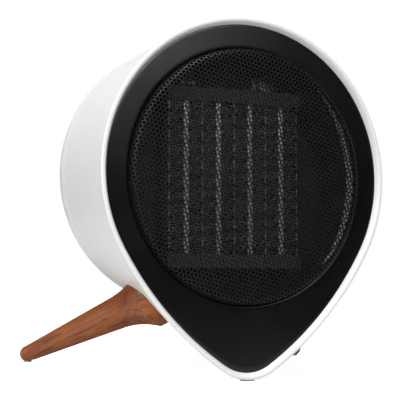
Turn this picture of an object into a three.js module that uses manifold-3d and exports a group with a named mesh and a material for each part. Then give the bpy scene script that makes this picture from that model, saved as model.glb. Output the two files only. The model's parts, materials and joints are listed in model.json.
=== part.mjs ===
// A teardrop-faced ceramic space heater on two splayed wooden legs, in millimetres.
// Heater frame: x to the viewer's right, y back from the face, z up.
// The housing group leans back by the recline. Inside it, y is the depth behind the front edge of the rim
// and z runs up the face from the centre of the grille.

import * as THREE from 'three';
import { mergeVertices } from 'three/addons/utils/BufferGeometryUtils.js';
import Module from 'manifold-3d';

const wasm = await Module();
wasm.setup();

// Driving dimensions

const clearance = 0.3;
const recline = 4; // degrees

const rim = { // the teardrop outline: a top arc, two flank arcs and a tip arc
  topRadius: 125,
  topCentre: 1.3,
  flankRadius: 267,
  tipRadius: 40,
  tipCentre: -119.5,
  lipWidth: 3.2,
  edgeRound: 1.2,
  faceInset: 5,
  faceDepth: 4,
};
const body = {
  depth: 168,
  taper: 14,
  edgeDepth: 50,
  edgeRadius: 38,
  edgeSplit: 50, // degrees round the back edge at which the rear cover takes over
  blendDepth: 53,
  lift: 7.1,
  liftDepth: 120,
  wall: 2.6,
  ledgeWidth: 4,
  ledgeThickness: 2.4,
};
const bezel = { thickness: 2.8, width: 18.4 };
const grille = { sheet: 0.8, rise: 7, flange: 5.4, fillet: 6 }; // the rise is from the bezel's face
const retainer = { width: 8, thickness: 2 };
const core = { // four heating modules side by side, each a bar between two fin packs
  width: 116,
  height: 127,
  front: 26,
  thickness: 15,
  modules: 4,
  barWidth: 4.8,
  barProud: 0.6,
  separator: 0.9,
  sidePlate: 1,
  folds: 9,
  finThickness: 0.6,
  tabWidth: 0.9,
  tabDepth: 6.3,
  tabLength: 16,
};
const holder = { height: 8, front: 1.6, overhang: 3 };
const baffle = { thickness: 2.4, lap: 3, edgeGap: 1.2 };
const duct = { length: 16, wall: 2 };
const fan = {
  radius: 72,
  tipGap: 3.5,
  shroudWall: 2.4,
  shroudLength: 30,
  blades: 7,
  hubRadius: 19,
  hubLength: 20,
  bladeChord: 30,
  bladeThickness: 1.8,
  rootPitch: 48,
  tipPitch: 28,
  spokes: 4,
  spokeWidth: 9,
  spokeThickness: 4,
  frontGap: 4,
};
const motor = {
  radius: 24,
  length: 32,
  wall: 1.6,
  bracket: 3,
  shaftRadius: 2.5,
  shaftProud: 6,
  bushRadius: 5.5,
  bushLength: 6,
  rotorRadius: 12,
  airGap: 0.6,
  stackLength: 18,
};
const cover = { wall: 3, spigotLength: 5, spigotWall: 2, spigotGap: 0.5 };
const intake = { margin: 11, slotWidth: 3.4, pitch: 7.4, rib: 5, aboveKnobs: 9 };
const knob = {
  radius: 15,
  height: 11,
  gripWidth: 6,
  gripHeight: 5,
  gripInset: 3,
  edge: 1,
  margin: 8,
  spread: 32, // degrees from straight down, about the cover's centre
};
const spindle = { radius: 3, inBody: 10, inKnob: 7 };
const switchBox = { width: 22, height: 20, depth: 16 };
const lens = { radius: 3, lip: 0.5, proud: 1, stem: 5, aboveKnobs: 2 };
const gland = { flangeRadius: 7, flange: 2.4, stemRadius: 5, boreRadius: 3.6, stemLength: 9, margin: 11 };
const coverScrew = {
  count: 4,
  outset: 13,
  headRadius: 3.6,
  head: 2.4,
  shankRadius: 1.8,
  shankLength: 14,
  seat: 2.5,
  cupWall: 2.2,
  bossRadius: 5,
  bossLength: 16,
  bossFloor: 3,
};
const terminalBlock = { width: 26, height: 12, depth: 14, drop: 20 };
const tilt = { // the tip-over switch: a weight that swings on a pin in an open-sided case
  depth: 112,
  size: 26,
  width: 14,
  wall: 2,
  floorGap: 3,
  pinRadius: 1.5,
  eyeRadius: 3.5,
  armWidth: 3,
  armLength: 11,
  weightRadius: 4.5,
  weightWidth: 6,
};
const cutout = {
  radius: 8,
  thickness: 5,
  flangeWidth: 24,
  flangeHeight: 10,
  flange: 1.2,
  x: 36,
  above: 13,
};
const fuse = { radius: 2.2, length: 14 };
const leg = { // measured from the middle of the grille in plan and from the ground in height
  footX: 129,
  footY: 145,
  footRadius: 6.6,
  aimX: 58,
  aimY: 67,
  aimHeight: 57,
  growth: 0.0763,
  flareStart: 92,
  flareLength: 24.4,
  flare: 5.3,
  flareEnd: 124,
  insideLength: 40,
};
const legScrew = { headRadius: 6, head: 4, shankRadius: 2.5, grip: 25, bossRadius: 9, bossLength: 12 };
const legPad = { radius: 3.4, thickness: 1.2 };
const frontPad = { width: 10, length: 5, start: 2.5, tipGap: 0.8 };

// Derived sizes that several pieces share

const sideDepth = body.depth - body.edgeDepth;
const sideRadius = rim.topRadius - body.taper;
const backRadius = sideRadius - body.edgeRadius;
const backCentre = body.lift + rim.topCentre;
const ledgeDepth = rim.faceDepth + bezel.thickness + clearance;
const openingRadius = rim.topRadius - rim.faceInset - bezel.width;
const coreBack = core.front + core.thickness;
const baffleFront = coreBack + holder.front;
const baffleBack = baffleFront + baffle.thickness;
const ductFront = baffleBack + clearance;
const shroudFront = ductFront + duct.length + clearance;
const shroudBack = shroudFront + fan.shroudLength;
const shroudRadius = fan.radius + fan.tipGap;
const motorFront = shroudBack + clearance;
const motorBack = motorFront + motor.bracket + clearance + motor.length;
const splitAngle = THREE.MathUtils.degToRad(body.edgeSplit);
const splitDepth = sideDepth + body.edgeDepth * Math.sin(splitAngle);
const coverScrewSeat = splitDepth + clearance + coverScrew.seat - 1.5;
const knobCircle = backRadius - knob.radius - knob.margin;
const knobX = knobCircle * Math.sin(THREE.MathUtils.degToRad(knob.spread));
const knobZ = backCentre - knobCircle * Math.cos(THREE.MathUtils.degToRad(knob.spread));
const centreHeight = (rim.tipRadius - rim.tipCentre) * Math.cos(THREE.MathUtils.degToRad(recline))
  + frontPad.tipGap;

const heater = new THREE.Group();
const housing = new THREE.Group();
housing.rotation.x = -THREE.MathUtils.degToRad(recline);
housing.position.z = centreHeight;
heater.add(housing);
heater.updateMatrixWorld(true);
const toHousing = housing.matrixWorld.clone().invert();

// Materials

function finish(color, roughness, metalness = 0) {
  return new THREE.MeshStandardMaterial({ color, roughness, metalness });
}
const whitePlastic = finish(0xf2f1ee, 0.35);
const blackPlastic = finish(0x101012, 0.4);
const darkPlastic = finish(0x2a2a2c, 0.6);
const mouldedResin = finish(0x55524c, 0.7);
const perforatedSteel = finish(0x2c2c2e, 0.45, 0.8);
const aluminium = finish(0xc9ccd0, 0.35, 1);
const steel = finish(0x9a9ca0, 0.35, 1);
const bronze = finish(0xa9743a, 0.4, 1);
const copper = finish(0xb56a3a, 0.45, 1);
const walnut = finish(0x6a3d22, 0.5);
const rubber = finish(0xd9d7d2, 0.8);
const amber = finish(0xd8641c, 0.2);

// Geometry helpers

// Welds a geometry, drops its collapsed triangles and turns its faces outward.
function welded(geometry) {
  const bare = geometry.clone();
  bare.deleteAttribute('normal');
  bare.deleteAttribute('uv');
  const merged = mergeVertices(bare, 1e-4);
  const position = merged.getAttribute('position');
  const index = merged.getIndex().array;
  const kept = [];
  let volume = 0;
  const [a, b, c] = [new THREE.Vector3(), new THREE.Vector3(), new THREE.Vector3()];
  for (let k = 0; k < index.length; k += 3) {
    const corners = [index[k], index[k + 1], index[k + 2]];
    if (new Set(corners).size < 3) continue;
    kept.push(...corners);
    a.fromBufferAttribute(position, corners[0]);
    b.fromBufferAttribute(position, corners[1]);
    c.fromBufferAttribute(position, corners[2]);
    volume += a.dot(b.cross(c));
  }
  if (volume < 0) kept.reverse();
  merged.setIndex(kept);
  return merged;
}

function toSolid(geometry) {
  const mesh = welded(geometry);
  return new wasm.Manifold(new wasm.Mesh({
    numProp: 3,
    vertProperties: new Float32Array(mesh.getAttribute('position').array),
    triVerts: new Uint32Array(mesh.getIndex().array),
  }));
}

function toGeometry(solid) {
  const mesh = solid.getMesh();
  const geometry = new THREE.BufferGeometry();
  geometry.setAttribute('position', new THREE.BufferAttribute(new Float32Array(mesh.vertProperties), 3));
  geometry.setIndex(new THREE.BufferAttribute(new Uint32Array(mesh.triVerts), 1));
  return geometry;
}

function join(first, ...rest) {
  return toGeometry(rest.reduce((solid, piece) => solid.add(toSolid(piece)), toSolid(first)));
}

function cut(first, ...tools) {
  return toGeometry(tools.reduce((solid, tool) => solid.subtract(toSolid(tool)), toSolid(first)));
}

function common(first, second) {
  return toGeometry(toSolid(first).intersect(toSolid(second)));
}

// Joins rings of points in order. A band closes its last ring onto its first, a solid caps both ends.
function skin(rings, isBand) {
  const count = rings[0].length;
  const points = rings.flat();
  const index = [];
  const rows = isBand ? rings.length : rings.length - 1;
  for (let row = 0; row < rows; row += 1) {
    const here = row * count;
    const there = ((row + 1) % rings.length) * count;
    for (let k = 0; k < count; k += 1) {
      const next = (k + 1) % count;
      index.push(here + k, here + next, there + next, here + k, there + next, there + k);
    }
  }
  if (!isBand) {
    for (const [ring, start] of [[rings[0], 0], [rings.at(-1), rows * count]]) {
      const middle = ring.reduce((sum, p) => sum.add(p), new THREE.Vector3()).divideScalar(count);
      const centre = points.push(middle) - 1;
      for (let k = 0; k < count; k += 1) {
        const next = (k + 1) % count;
        index.push(centre, start + (start ? k : next), start + (start ? next : k));
      }
    }
  }
  const geometry = new THREE.BufferGeometry();
  const numbers = points.flatMap((point) => point.toArray());
  geometry.setAttribute('position', new THREE.Float32BufferAttribute(numbers, 3));
  geometry.setIndex(index);
  return geometry;
}

// A closed profile of [radius, depth] points turned about the y axis.
function turned(profile, segments = 24) {
  const points = [...profile, profile[0]].map(([radius, depth]) => new THREE.Vector2(radius, depth));
  return welded(new THREE.LatheGeometry(points, segments));
}

function ring(inner, outer, front, back, segments = 24) {
  return turned([[inner, front], [outer, front], [outer, back], [inner, back]], segments);
}

function rod(radius, front, back, x = 0, z = 0, segments = 20) {
  return new THREE.CylinderGeometry(radius, radius, back - front, segments)
    .translate(x, (front + back) / 2, z);
}

function block(width, depth, height, x = 0, y = 0, z = 0) {
  return new THREE.BoxGeometry(width, depth, height).translate(x, y, z);
}

// A flat plate with the outline and holes given as points up the face.
function plate(outline, holes, front, back) {
  const shape = new THREE.Shape(THREE.ShapeUtils.isClockWise(outline) ? outline.toReversed() : outline);
  shape.holes = holes.map((hole) => new THREE.Path(hole));
  const extruded = new THREE.ExtrudeGeometry(shape, { depth: back - front, bevelEnabled: false });
  return extruded.rotateX(Math.PI / 2).translate(0, back, 0);
}

function circlePoints(radius, segments, z = 0) {
  return Array.from({ length: segments }, (_, k) => {
    const angle = (2 * Math.PI * k) / segments;
    return new THREE.Vector2(radius * Math.sin(angle), radius * Math.cos(angle) + z);
  });
}

function rectanglePoints(width, height) {
  const corners = [[-1, -1], [1, -1], [1, 1], [-1, 1]];
  return corners.map(([x, z]) => new THREE.Vector2((x * width) / 2, (z * height) / 2));
}

function add(parent, name, geometry, material) {
  const mesh = new THREE.Mesh(welded(geometry), material);
  mesh.name = name;
  parent.add(mesh);
  return mesh;
}

// The teardrop and the body lofted back from it

const topCentre = new THREE.Vector2(0, rim.topCentre);
const tipCentre = new THREE.Vector2(0, rim.tipCentre);
const flankCentre = tangentFlank();
const topEnd = fromUpright(topCentre.clone().sub(flankCentre));
const flankEnd = fromUpright(tipCentre.clone().sub(flankCentre));

// The centre of the right flank's circle, which touches the top and tip circles from outside.
function tangentFlank() {
  const span = rim.topCentre - rim.tipCentre;
  const toTop = rim.flankRadius - rim.topRadius;
  const toTip = rim.flankRadius - rim.tipRadius;
  const up = (toTip ** 2 - toTop ** 2 + span ** 2) / (2 * span);
  return new THREE.Vector2(-Math.sqrt(toTip ** 2 - up ** 2), rim.tipCentre + up);
}

function fromUpright(vector) {
  return Math.atan2(vector.x, vector.y);
}

function onArc(centre, radius, angle) {
  return new THREE.Vector2(centre.x + radius * Math.sin(angle), centre.y + radius * Math.cos(angle));
}

// Angles about the grille's centre at which every section of the body has a point.
function sectionAngles() {
  const arcs = [
    [topCentre, rim.topRadius, 0, topEnd, 15],
    [flankCentre, rim.flankRadius, topEnd, flankEnd, 5],
    [tipCentre, rim.tipRadius, flankEnd, Math.PI, 4],
  ];
  const right = arcs.flatMap(([centre, radius, start, end, steps]) => (
    Array.from({ length: steps }, (_, k) => fromUpright(
      onArc(centre, radius, THREE.MathUtils.lerp(start, end, k / steps)),
    ))
  ));
  const left = right.slice(1).reverse().map((angle) => 2 * Math.PI - angle);
  return [...right, Math.PI, ...left];
}
const angles = sectionAngles();

function alongRay(angle, centre, radius) {
  const along = centre.x * Math.sin(angle) + centre.y * Math.cos(angle);
  return along + Math.sqrt(along ** 2 - centre.lengthSq() + radius ** 2);
}

// Distance from the grille's centre to the teardrop, drawn in by the inset.
function teardrop(angle, inset = 0) {
  const side = Math.min(angle, 2 * Math.PI - angle);
  if (side < fromUpright(onArc(topCentre, rim.topRadius - inset, topEnd))) {
    return alongRay(side, topCentre, rim.topRadius - inset);
  }
  if (side < fromUpright(onArc(tipCentre, rim.tipRadius - inset, flankEnd))) {
    return alongRay(side, flankCentre, rim.flankRadius - inset);
  }
  return alongRay(side, tipCentre, rim.tipRadius - inset);
}

function roundRadius(depth, inset) {
  if (depth <= sideDepth) {
    return THREE.MathUtils.lerp(rim.topRadius, sideRadius, depth / sideDepth) - inset;
  }
  const rise = Math.min((depth - sideDepth) / (body.edgeDepth - inset), 1);
  return backRadius + (body.edgeRadius - inset) * Math.sqrt(1 - rise ** 2);
}

// The body's section at a depth: a teardrop in front, a circle from the blend depth back.
function bodySection(depth, inset = 0) {
  const blend = THREE.MathUtils.smoothstep(depth, 0, body.blendDepth);
  const scale = roundRadius(depth, 0) / rim.topRadius;
  const lift = body.lift * Math.min(depth / body.liftDepth, 1) + rim.topCentre * blend;
  return angles.map((angle) => {
    const radius = (1 - blend) * teardrop(angle, inset) * scale + blend * roundRadius(depth, inset);
    return new THREE.Vector3(radius * Math.sin(angle), depth, radius * Math.cos(angle) + lift);
  });
}

function teardropSection(depth, inset) {
  return angles.map((angle) => {
    const radius = teardrop(angle, inset);
    return new THREE.Vector3(radius * Math.sin(angle), depth, radius * Math.cos(angle));
  });
}

function edgeDepths(inset, steps, end) {
  const reach = body.edgeDepth - inset;
  const last = Math.asin((end - sideDepth) / reach);
  return Array.from({ length: steps }, (_, k) => sideDepth + reach * Math.sin((last * (k + 1)) / steps));
}

const sideSteps = [1 / 9, 2 / 9, 1 / 3, 4 / 9, 2 / 3, 1];

// The filled body, drawn in by the inset, to cut neighbours with or to trim inner features.
function filledBody(inset) {
  const depths = [rim.edgeRound, ...sideSteps.map((step) => step * sideDepth),
    ...edgeDepths(inset, 6, body.depth - inset - 0.01)];
  return skin([teardropSection(Math.min(inset, 0), rim.edgeRound + inset),
    ...depths.map((depth) => bodySection(depth, inset))], false);
}

// Leg axes, in the heater frame

function legAxis(side) {
  const foot = new THREE.Vector3(side * leg.footX, leg.footY, leg.footRadius);
  const aim = new THREE.Vector3(side * leg.aimX, leg.aimY, leg.aimHeight);
  const direction = aim.clone().sub(foot).normalize();
  return { foot, direction, aimLength: aim.distanceTo(foot) };
}

function alongLeg(axis, distance) {
  return axis.foot.clone().addScaledVector(axis.direction, distance);
}

function isInBody(point) {
  const local = point.clone().applyMatrix4(toHousing);
  const lift = body.lift * Math.min(local.y / body.liftDepth, 1)
    + rim.topCentre * THREE.MathUtils.smoothstep(local.y, 0, body.blendDepth);
  const angle = (Math.atan2(local.x, local.z - lift) + 2 * Math.PI) % (2 * Math.PI);
  const blend = THREE.MathUtils.smoothstep(local.y, 0, body.blendDepth);
  const scale = roundRadius(local.y, 0) / rim.topRadius;
  const radius = (1 - blend) * teardrop(angle) * scale + blend * roundRadius(local.y, 0);
  return Math.hypot(local.x, local.z - lift) < radius;
}

// Distance from the foot at which a leg's axis enters the body.
function legEntry(axis) {
  let [low, high] = [0, axis.aimLength + leg.insideLength];
  while (high - low > 0.01) {
    const middle = (low + high) / 2;
    if (isInBody(alongLeg(axis, middle))) high = middle;
    else low = middle;
  }
  return high;
}

// Turns a geometry made about the y axis so that y runs up the leg from its foot.
function onLeg(geometry, axis) {
  const turn = new THREE.Quaternion().setFromUnitVectors(new THREE.Vector3(0, 1, 0), axis.direction);
  return geometry.applyQuaternion(turn).translate(...axis.foot.toArray());
}

const sides = [['left', -1], ['right', 1]];

// Housing pieces

function makeBodyShell() {
  const depths = sideSteps.map((step) => step * sideDepth);
  const outer = [rim.edgeRound, ...depths, ...edgeDepths(0, 4, splitDepth)].map((d) => bodySection(d));
  const inner = [ledgeDepth + body.ledgeThickness + body.ledgeWidth, ...depths.slice(1),
    ...edgeDepths(body.wall, 4, splitDepth)].reverse().map((d) => bodySection(d, body.wall));
  const pocketInset = rim.faceInset + body.ledgeWidth;
  const shell = skin([
    teardropSection(0, rim.edgeRound),
    ...outer,
    ...inner,
    teardropSection(ledgeDepth + body.ledgeThickness, pocketInset),
    teardropSection(ledgeDepth, pocketInset),
    teardropSection(ledgeDepth, rim.faceInset),
    teardropSection(rim.faceDepth, rim.faceInset),
    teardropSection(0, rim.lipWidth),
  ], true);
  const inside = filledBody(body.wall / 2);
  const bosses = coverScrewPlaces().flatMap(({ x, z, angle }) => {
    const back = coverScrewSeat - clearance;
    const webLength = splitDepth - cover.spigotLength - clearance - back + coverScrew.bossLength;
    const web = block(body.wall, webLength, body.edgeRadius)
      .translate(0, back - coverScrew.bossLength + webLength / 2, body.edgeRadius / 2)
      .rotateY(angle)
      .translate(x, 0, z);
    return [rod(coverScrew.bossRadius, back - coverScrew.bossLength, back, x, z, 14), web];
  });
  const legBosses = sides.map(([, side]) => {
    const axis = legAxis(side);
    const entry = legEntry(axis);
    return onLeg(rod(legScrew.bossRadius, entry - 2, entry + legScrew.bossLength), axis)
      .applyMatrix4(toHousing);
  });
  const pedestalTop = tiltFloor() - clearance;
  const pedestal = block(tilt.width, tilt.size / 2, tilt.size)
    .translate(0, tilt.depth, pedestalTop - tilt.size / 2);
  const features = common(join(...bosses, ...legBosses, pedestal), inside);
  const pilotFront = coverScrewSeat - coverScrew.bossLength + coverScrew.bossFloor;
  const screwHoles = coverScrewPlaces().map(({ x, z }) => (
    rod(coverScrew.shankRadius + clearance, pilotFront, body.depth, x, z, 12)
  ));
  const legHoles = sides.map(([, side]) => {
    const axis = legAxis(side);
    const entry = legEntry(axis);
    const hole = rod(legScrew.shankRadius + clearance, entry - 20, entry + legScrew.bossLength + 5);
    return onLeg(hole, axis).applyMatrix4(toHousing);
  });
  return cut(join(shell, features), ...screwHoles, ...legHoles);
}

function outlinePoints(inset) {
  return angles.map((angle) => {
    const radius = teardrop(angle, inset);
    return new THREE.Vector2(radius * Math.sin(angle), radius * Math.cos(angle));
  });
}

function makeBezel() {
  const outline = outlinePoints(rim.faceInset + clearance);
  return plate(outline, [circlePoints(openingRadius, 60)], rim.faceDepth, rim.faceDepth + bezel.thickness);
}

// A domed disc that stands out through the bezel's opening, with its flange behind the bezel.
function makeGrille() {
  const crown = rim.faceDepth - grille.rise;
  const wallRadius = openingRadius - clearance;
  const innerWall = wallRadius - grille.sheet;
  const bend = [30, 60].map(THREE.MathUtils.degToRad);
  const bent = (radius, depth, fillet) => bend.map((angle) => (
    [radius - fillet * (1 - Math.cos(angle)), depth + fillet * (1 - Math.sin(angle))]
  ));
  const innerFillet = grille.fillet - grille.sheet;
  return turned([
    [0, crown],
    [wallRadius - grille.fillet, crown],
    ...bent(wallRadius, crown, grille.fillet).reverse(),
    [wallRadius, crown + grille.fillet],
    [wallRadius, ledgeDepth],
    [openingRadius + grille.flange, ledgeDepth],
    [openingRadius + grille.flange, ledgeDepth + grille.sheet],
    [innerWall, ledgeDepth + grille.sheet],
    [innerWall, crown + grille.fillet],
    ...bent(innerWall, crown + grille.sheet, innerFillet),
    [innerWall - innerFillet, crown + grille.sheet],
    [0, crown + grille.sheet],
  ], 48);
}

function makeRetainer() {
  const front = ledgeDepth + grille.sheet + clearance;
  return ring(openingRadius + 1, openingRadius + retainer.width, front, front + retainer.thickness, 32);
}

function makeBaffle() {
  const outline = bodySection(baffleFront, body.wall + baffle.edgeGap)
    .map((point) => new THREE.Vector2(point.x, point.z));
  const hole = rectanglePoints(core.width - 2 * baffle.lap, core.height - 2 * baffle.lap);
  return plate(outline, [hole], baffleFront, baffleBack);
}

// A funnel from the fan's round shroud to the oblong heating core.
function makeDuct() {
  const perSide = 10;
  const half = [core.width / 2, core.height / 2];
  const oblong = (grow, depth) => Array.from({ length: 4 * perSide }, (_, k) => {
    const along = (2 * (k % perSide)) / perSide - 1;
    const [u, v] = [half[0] + grow, half[1] + grow];
    const corners = [[along * u, v], [u, -along * v], [-along * u, -v], [-u, along * v]];
    const [x, z] = corners[Math.floor(k / perSide)];
    return new THREE.Vector3(x, depth, z);
  });
  const round = (radius, depth) => oblong(0, depth).map((point) => {
    const scale = radius / Math.hypot(point.x, point.z);
    return new THREE.Vector3(point.x * scale, depth, point.z * scale + backCentre);
  });
  const back = ductFront + duct.length;
  return skin([oblong(duct.wall, ductFront), round(shroudRadius + duct.wall, back),
    round(shroudRadius, back), oblong(0, ductFront)], true);
}

// Heating core

const moduleWidth = (core.width - 2 * core.sidePlate) / core.modules;
const finWidth = (moduleWidth - core.separator - core.barWidth) / 2 - clearance * 2;
const coreMiddle = core.front + core.thickness / 2;

function moduleCentre(number) {
  return (number - (core.modules - 1) / 2) * moduleWidth;
}

function makeBar() {
  const depth = core.thickness + core.barProud;
  const bar = block(core.barWidth, depth, core.height, 0, core.front + core.thickness - depth / 2);
  const tab = block(core.tabWidth, core.tabDepth, core.tabLength + 2,
    0, coreMiddle, -(core.height + core.tabLength - 2) / 2);
  return join(bar, tab);
}

// A strip folded to and fro up the core, seen from the front.
function makeFinPack() {
  const half = core.finThickness / 2;
  const reach = finWidth / 2;
  const web = reach - core.finThickness;
  const pitch = (core.height - core.finThickness) / core.folds;
  const level = (k) => -core.height / 2 + half + k * pitch;
  const right = [[reach, level(0) - half]];
  const left = [[-reach, level(0) - half]];
  for (let k = 0; k < core.folds; k += 1) {
    const [low, high] = [level(k) + half, level(k + 1) - half];
    const [chain, side] = k % 2 ? [right, 1] : [left, -1];
    chain.push([side * reach, low], [-side * web, low], [-side * web, high], [side * reach, high]);
  }
  right.push([reach, level(core.folds) + half]);
  left.push([-reach, level(core.folds) + half]);
  const outline = [...right, ...left.reverse()].map(([x, z]) => new THREE.Vector2(x, z));
  return plate(outline, [], core.front, coreBack);
}

function makeStrip(thickness, front) {
  return block(thickness, coreBack - front, core.height, 0, (front + coreBack) / 2);
}

// A channel that caps the core's top or bottom, with a slot for each bar's tab in the bottom one.
function makeHolder(side) {
  const front = core.front - core.barProud - clearance - holder.front;
  const back = baffleFront - clearance;
  const near = core.height / 2 + clearance;
  const width = core.width + 2 * holder.front;
  const outer = block(width, back - front, holder.height + holder.overhang,
    0, (front + back) / 2, side * (near + (holder.height - holder.overhang) / 2));
  const pocket = block(core.width + 2 * clearance, back - front, near * 2,
    0, (front + back) / 2 + holder.front);
  if (side > 0) return cut(outer, pocket);
  const slots = Array.from({ length: core.modules }, (_, k) => (
    block(core.tabWidth + 2 * clearance, core.tabDepth + 2 * clearance, core.height,
      moduleCentre(k), coreMiddle, -core.height)
  ));
  return cut(outer, pocket, ...slots);
}

function addHeatingCore() {
  const finOffset = (core.barWidth + finWidth) / 2 + clearance;
  for (let k = 0; k < core.modules; k += 1) {
    const x = moduleCentre(k);
    add(housing, `ptc_bar_${k + 1}`, makeBar(), aluminium).position.x = x;
    add(housing, `fin_pack_${2 * k + 1}`, makeFinPack(), aluminium).position.x = x - finOffset;
    add(housing, `fin_pack_${2 * k + 2}`, makeFinPack(), aluminium).position.x = x + finOffset;
    if (k > 0) {
      const strip = makeStrip(core.separator, core.front);
      add(housing, `element_separator_${k}`, strip, aluminium).position.x = x - moduleWidth / 2;
    }
  }
  for (const [name, side] of sides) {
    const strip = makeStrip(core.sidePlate - clearance, core.front);
    const x = (side * (core.width - core.sidePlate)) / 2;
    add(housing, `element_side_${name}`, strip, aluminium).position.x = x;
  }
  add(housing, 'element_holder_top', makeHolder(1), mouldedResin);
  add(housing, 'element_holder_bottom', makeHolder(-1), mouldedResin);
}

function addThermalGuards() {
  const back = baffleFront - clearance;
  const height = core.height / 2 + cutout.above;
  const can = rod(cutout.radius, back - cutout.thickness, back - cutout.flange / 2);
  const flange = block(cutout.flangeWidth, cutout.flange, cutout.flangeHeight, 0, back - cutout.flange / 2);
  const guard = add(housing, 'thermal_cutout', join(can, flange), steel);
  guard.position.set(cutout.x, 0, height + cutout.radius / 2);
  const link = new THREE.CylinderGeometry(fuse.radius, fuse.radius, fuse.length, 12);
  const thermalFuse = add(housing, 'thermal_fuse', link, steel);
  thermalFuse.rotation.z = Math.PI / 2;
  thermalFuse.position.set(-cutout.x, back - fuse.radius, height);
}

// Fan and motor, about an axis through the back of the body

function makeShroud() {
  const spokeFront = shroudBack - fan.spokeThickness;
  const mount = ring(motor.bushRadius + 2, motor.radius, spokeFront, shroudBack);
  const spokes = Array.from({ length: fan.spokes }, (_, k) => (
    block(fan.spokeWidth, fan.spokeThickness, shroudRadius - motor.radius + 3)
      .translate(0, shroudBack - fan.spokeThickness / 2, (shroudRadius + motor.radius) / 2)
      .rotateY((2 * Math.PI * (k + 0.5)) / fan.spokes)
  ));
  const tube = ring(shroudRadius, shroudRadius + fan.shroudWall, shroudFront, shroudBack, 32);
  return join(tube, mount, ...spokes);
}

// A blade runs from inside the hub to the tip, and flattens on the way out.
function makeBlade() {
  const steps = 3;
  return skin(Array.from({ length: steps + 1 }, (_, k) => {
    const along = k / steps;
    const pitch = THREE.MathUtils.degToRad(THREE.MathUtils.lerp(fan.rootPitch, fan.tipPitch, along));
    const radius = THREE.MathUtils.lerp(fan.hubRadius - 1.5, fan.radius, along);
    const chord = fan.bladeChord * (0.62 + 0.38 * along);
    const corners = [[-1, -1], [1, -1], [1, 1], [-1, 1]];
    return corners.map(([u, v]) => {
      const [a, b] = [(u * chord) / 2, (v * fan.bladeThickness) / 2];
      const across = a * Math.cos(pitch) - b * Math.sin(pitch);
      return new THREE.Vector3(across, a * Math.sin(pitch) + b * Math.cos(pitch), radius);
    });
  }), false);
}

function makeImpeller() {
  const front = shroudFront + fan.frontGap;
  const back = front + fan.hubLength;
  const bore = motor.shaftRadius + clearance;
  const hub = turned([[bore, front], [fan.hubRadius - 4, front], [fan.hubRadius, front + 4],
    [fan.hubRadius, back], [fan.hubRadius - 2.5, back], [fan.hubRadius - 2.5, front + 5],
    [motor.bushRadius, front + 5], [motor.bushRadius, back], [bore, back]], 28);
  const hollow = rod(fan.hubRadius - 2.5, front + 5, back + 5, 0, 0, 28);
  const blades = Array.from({ length: fan.blades }, (_, k) => (
    makeBlade().translate(0, (front + back) / 2, 0).rotateY((2 * Math.PI * k) / fan.blades)
  ));
  return join(hub, cut(join(...blades), hollow));
}

function addFan() {
  const shaftFront = shroudFront + fan.frontGap - 2;
  const canFront = motorFront + motor.bracket + clearance;
  const stackFront = canFront + (motor.length - motor.stackLength) / 2;
  const bore = motor.shaftRadius + clearance;
  const bushHole = motor.bushRadius + clearance;
  const bushStart = motorFront - 1;
  const bushEnd = motorBack - motor.wall - motor.bushLength / 2;
  const inside = motor.radius - motor.wall;
  const stackBack = stackFront + motor.stackLength;
  const statorInner = motor.rotorRadius + motor.airGap;
  const can = turned([[inside, canFront], [motor.radius, canFront], [motor.radius, motorBack],
    [bushHole, motorBack], [bushHole, motorBack - motor.wall], [inside, motorBack - motor.wall]], 28);
  const pieces = [
    ['fan_shroud', makeShroud(), darkPlastic],
    ['fan_impeller', makeImpeller(), darkPlastic],
    ['motor_shaft', rod(motor.shaftRadius, shaftFront, motorBack + motor.shaftProud, 0, 0, 16), steel],
    ['motor_rotor', ring(bore, motor.rotorRadius, stackFront, stackBack), steel],
    ['motor_stator', ring(statorInner, inside - clearance, stackFront, stackBack), copper],
    ['motor_end_bracket', ring(bushHole, motor.radius, motorFront, motorFront + motor.bracket), steel],
    ['motor_can', can, steel],
    ['bush_front', ring(bore, motor.bushRadius, bushStart, bushStart + motor.bushLength, 16), bronze],
    ['bush_rear', ring(bore, motor.bushRadius, bushEnd, bushEnd + motor.bushLength, 16), bronze],
  ];
  for (const [name, geometry, material] of pieces) {
    add(housing, name, geometry, material).position.z = backCentre;
  }
}

// Rear cover and what it carries

function coverScrewPlaces() {
  const radius = backRadius + coverScrew.outset;
  return Array.from({ length: coverScrew.count }, (_, k) => {
    const angle = (2 * Math.PI * (k + 0.5)) / coverScrew.count;
    return { x: radius * Math.sin(angle), z: backCentre + radius * Math.cos(angle), angle };
  });
}

function intakeSlots() {
  const reach = backRadius - intake.margin;
  const lowest = knobZ - backCentre + knob.radius + intake.aboveKnobs;
  const rows = Math.floor((reach - lowest) / intake.pitch);
  const slots = [];
  for (let row = 0; row < rows; row += 1) {
    const z = lowest + (row + 0.5) * intake.pitch;
    const half = Math.sqrt(reach ** 2 - z ** 2);
    const length = half - intake.rib / 2;
    for (const side of [-1, 1]) {
      slots.push(block(length, 4 * cover.wall, intake.slotWidth,
        side * (half + intake.rib / 2) / 2, body.depth, z + backCentre));
    }
  }
  return slots;
}

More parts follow.
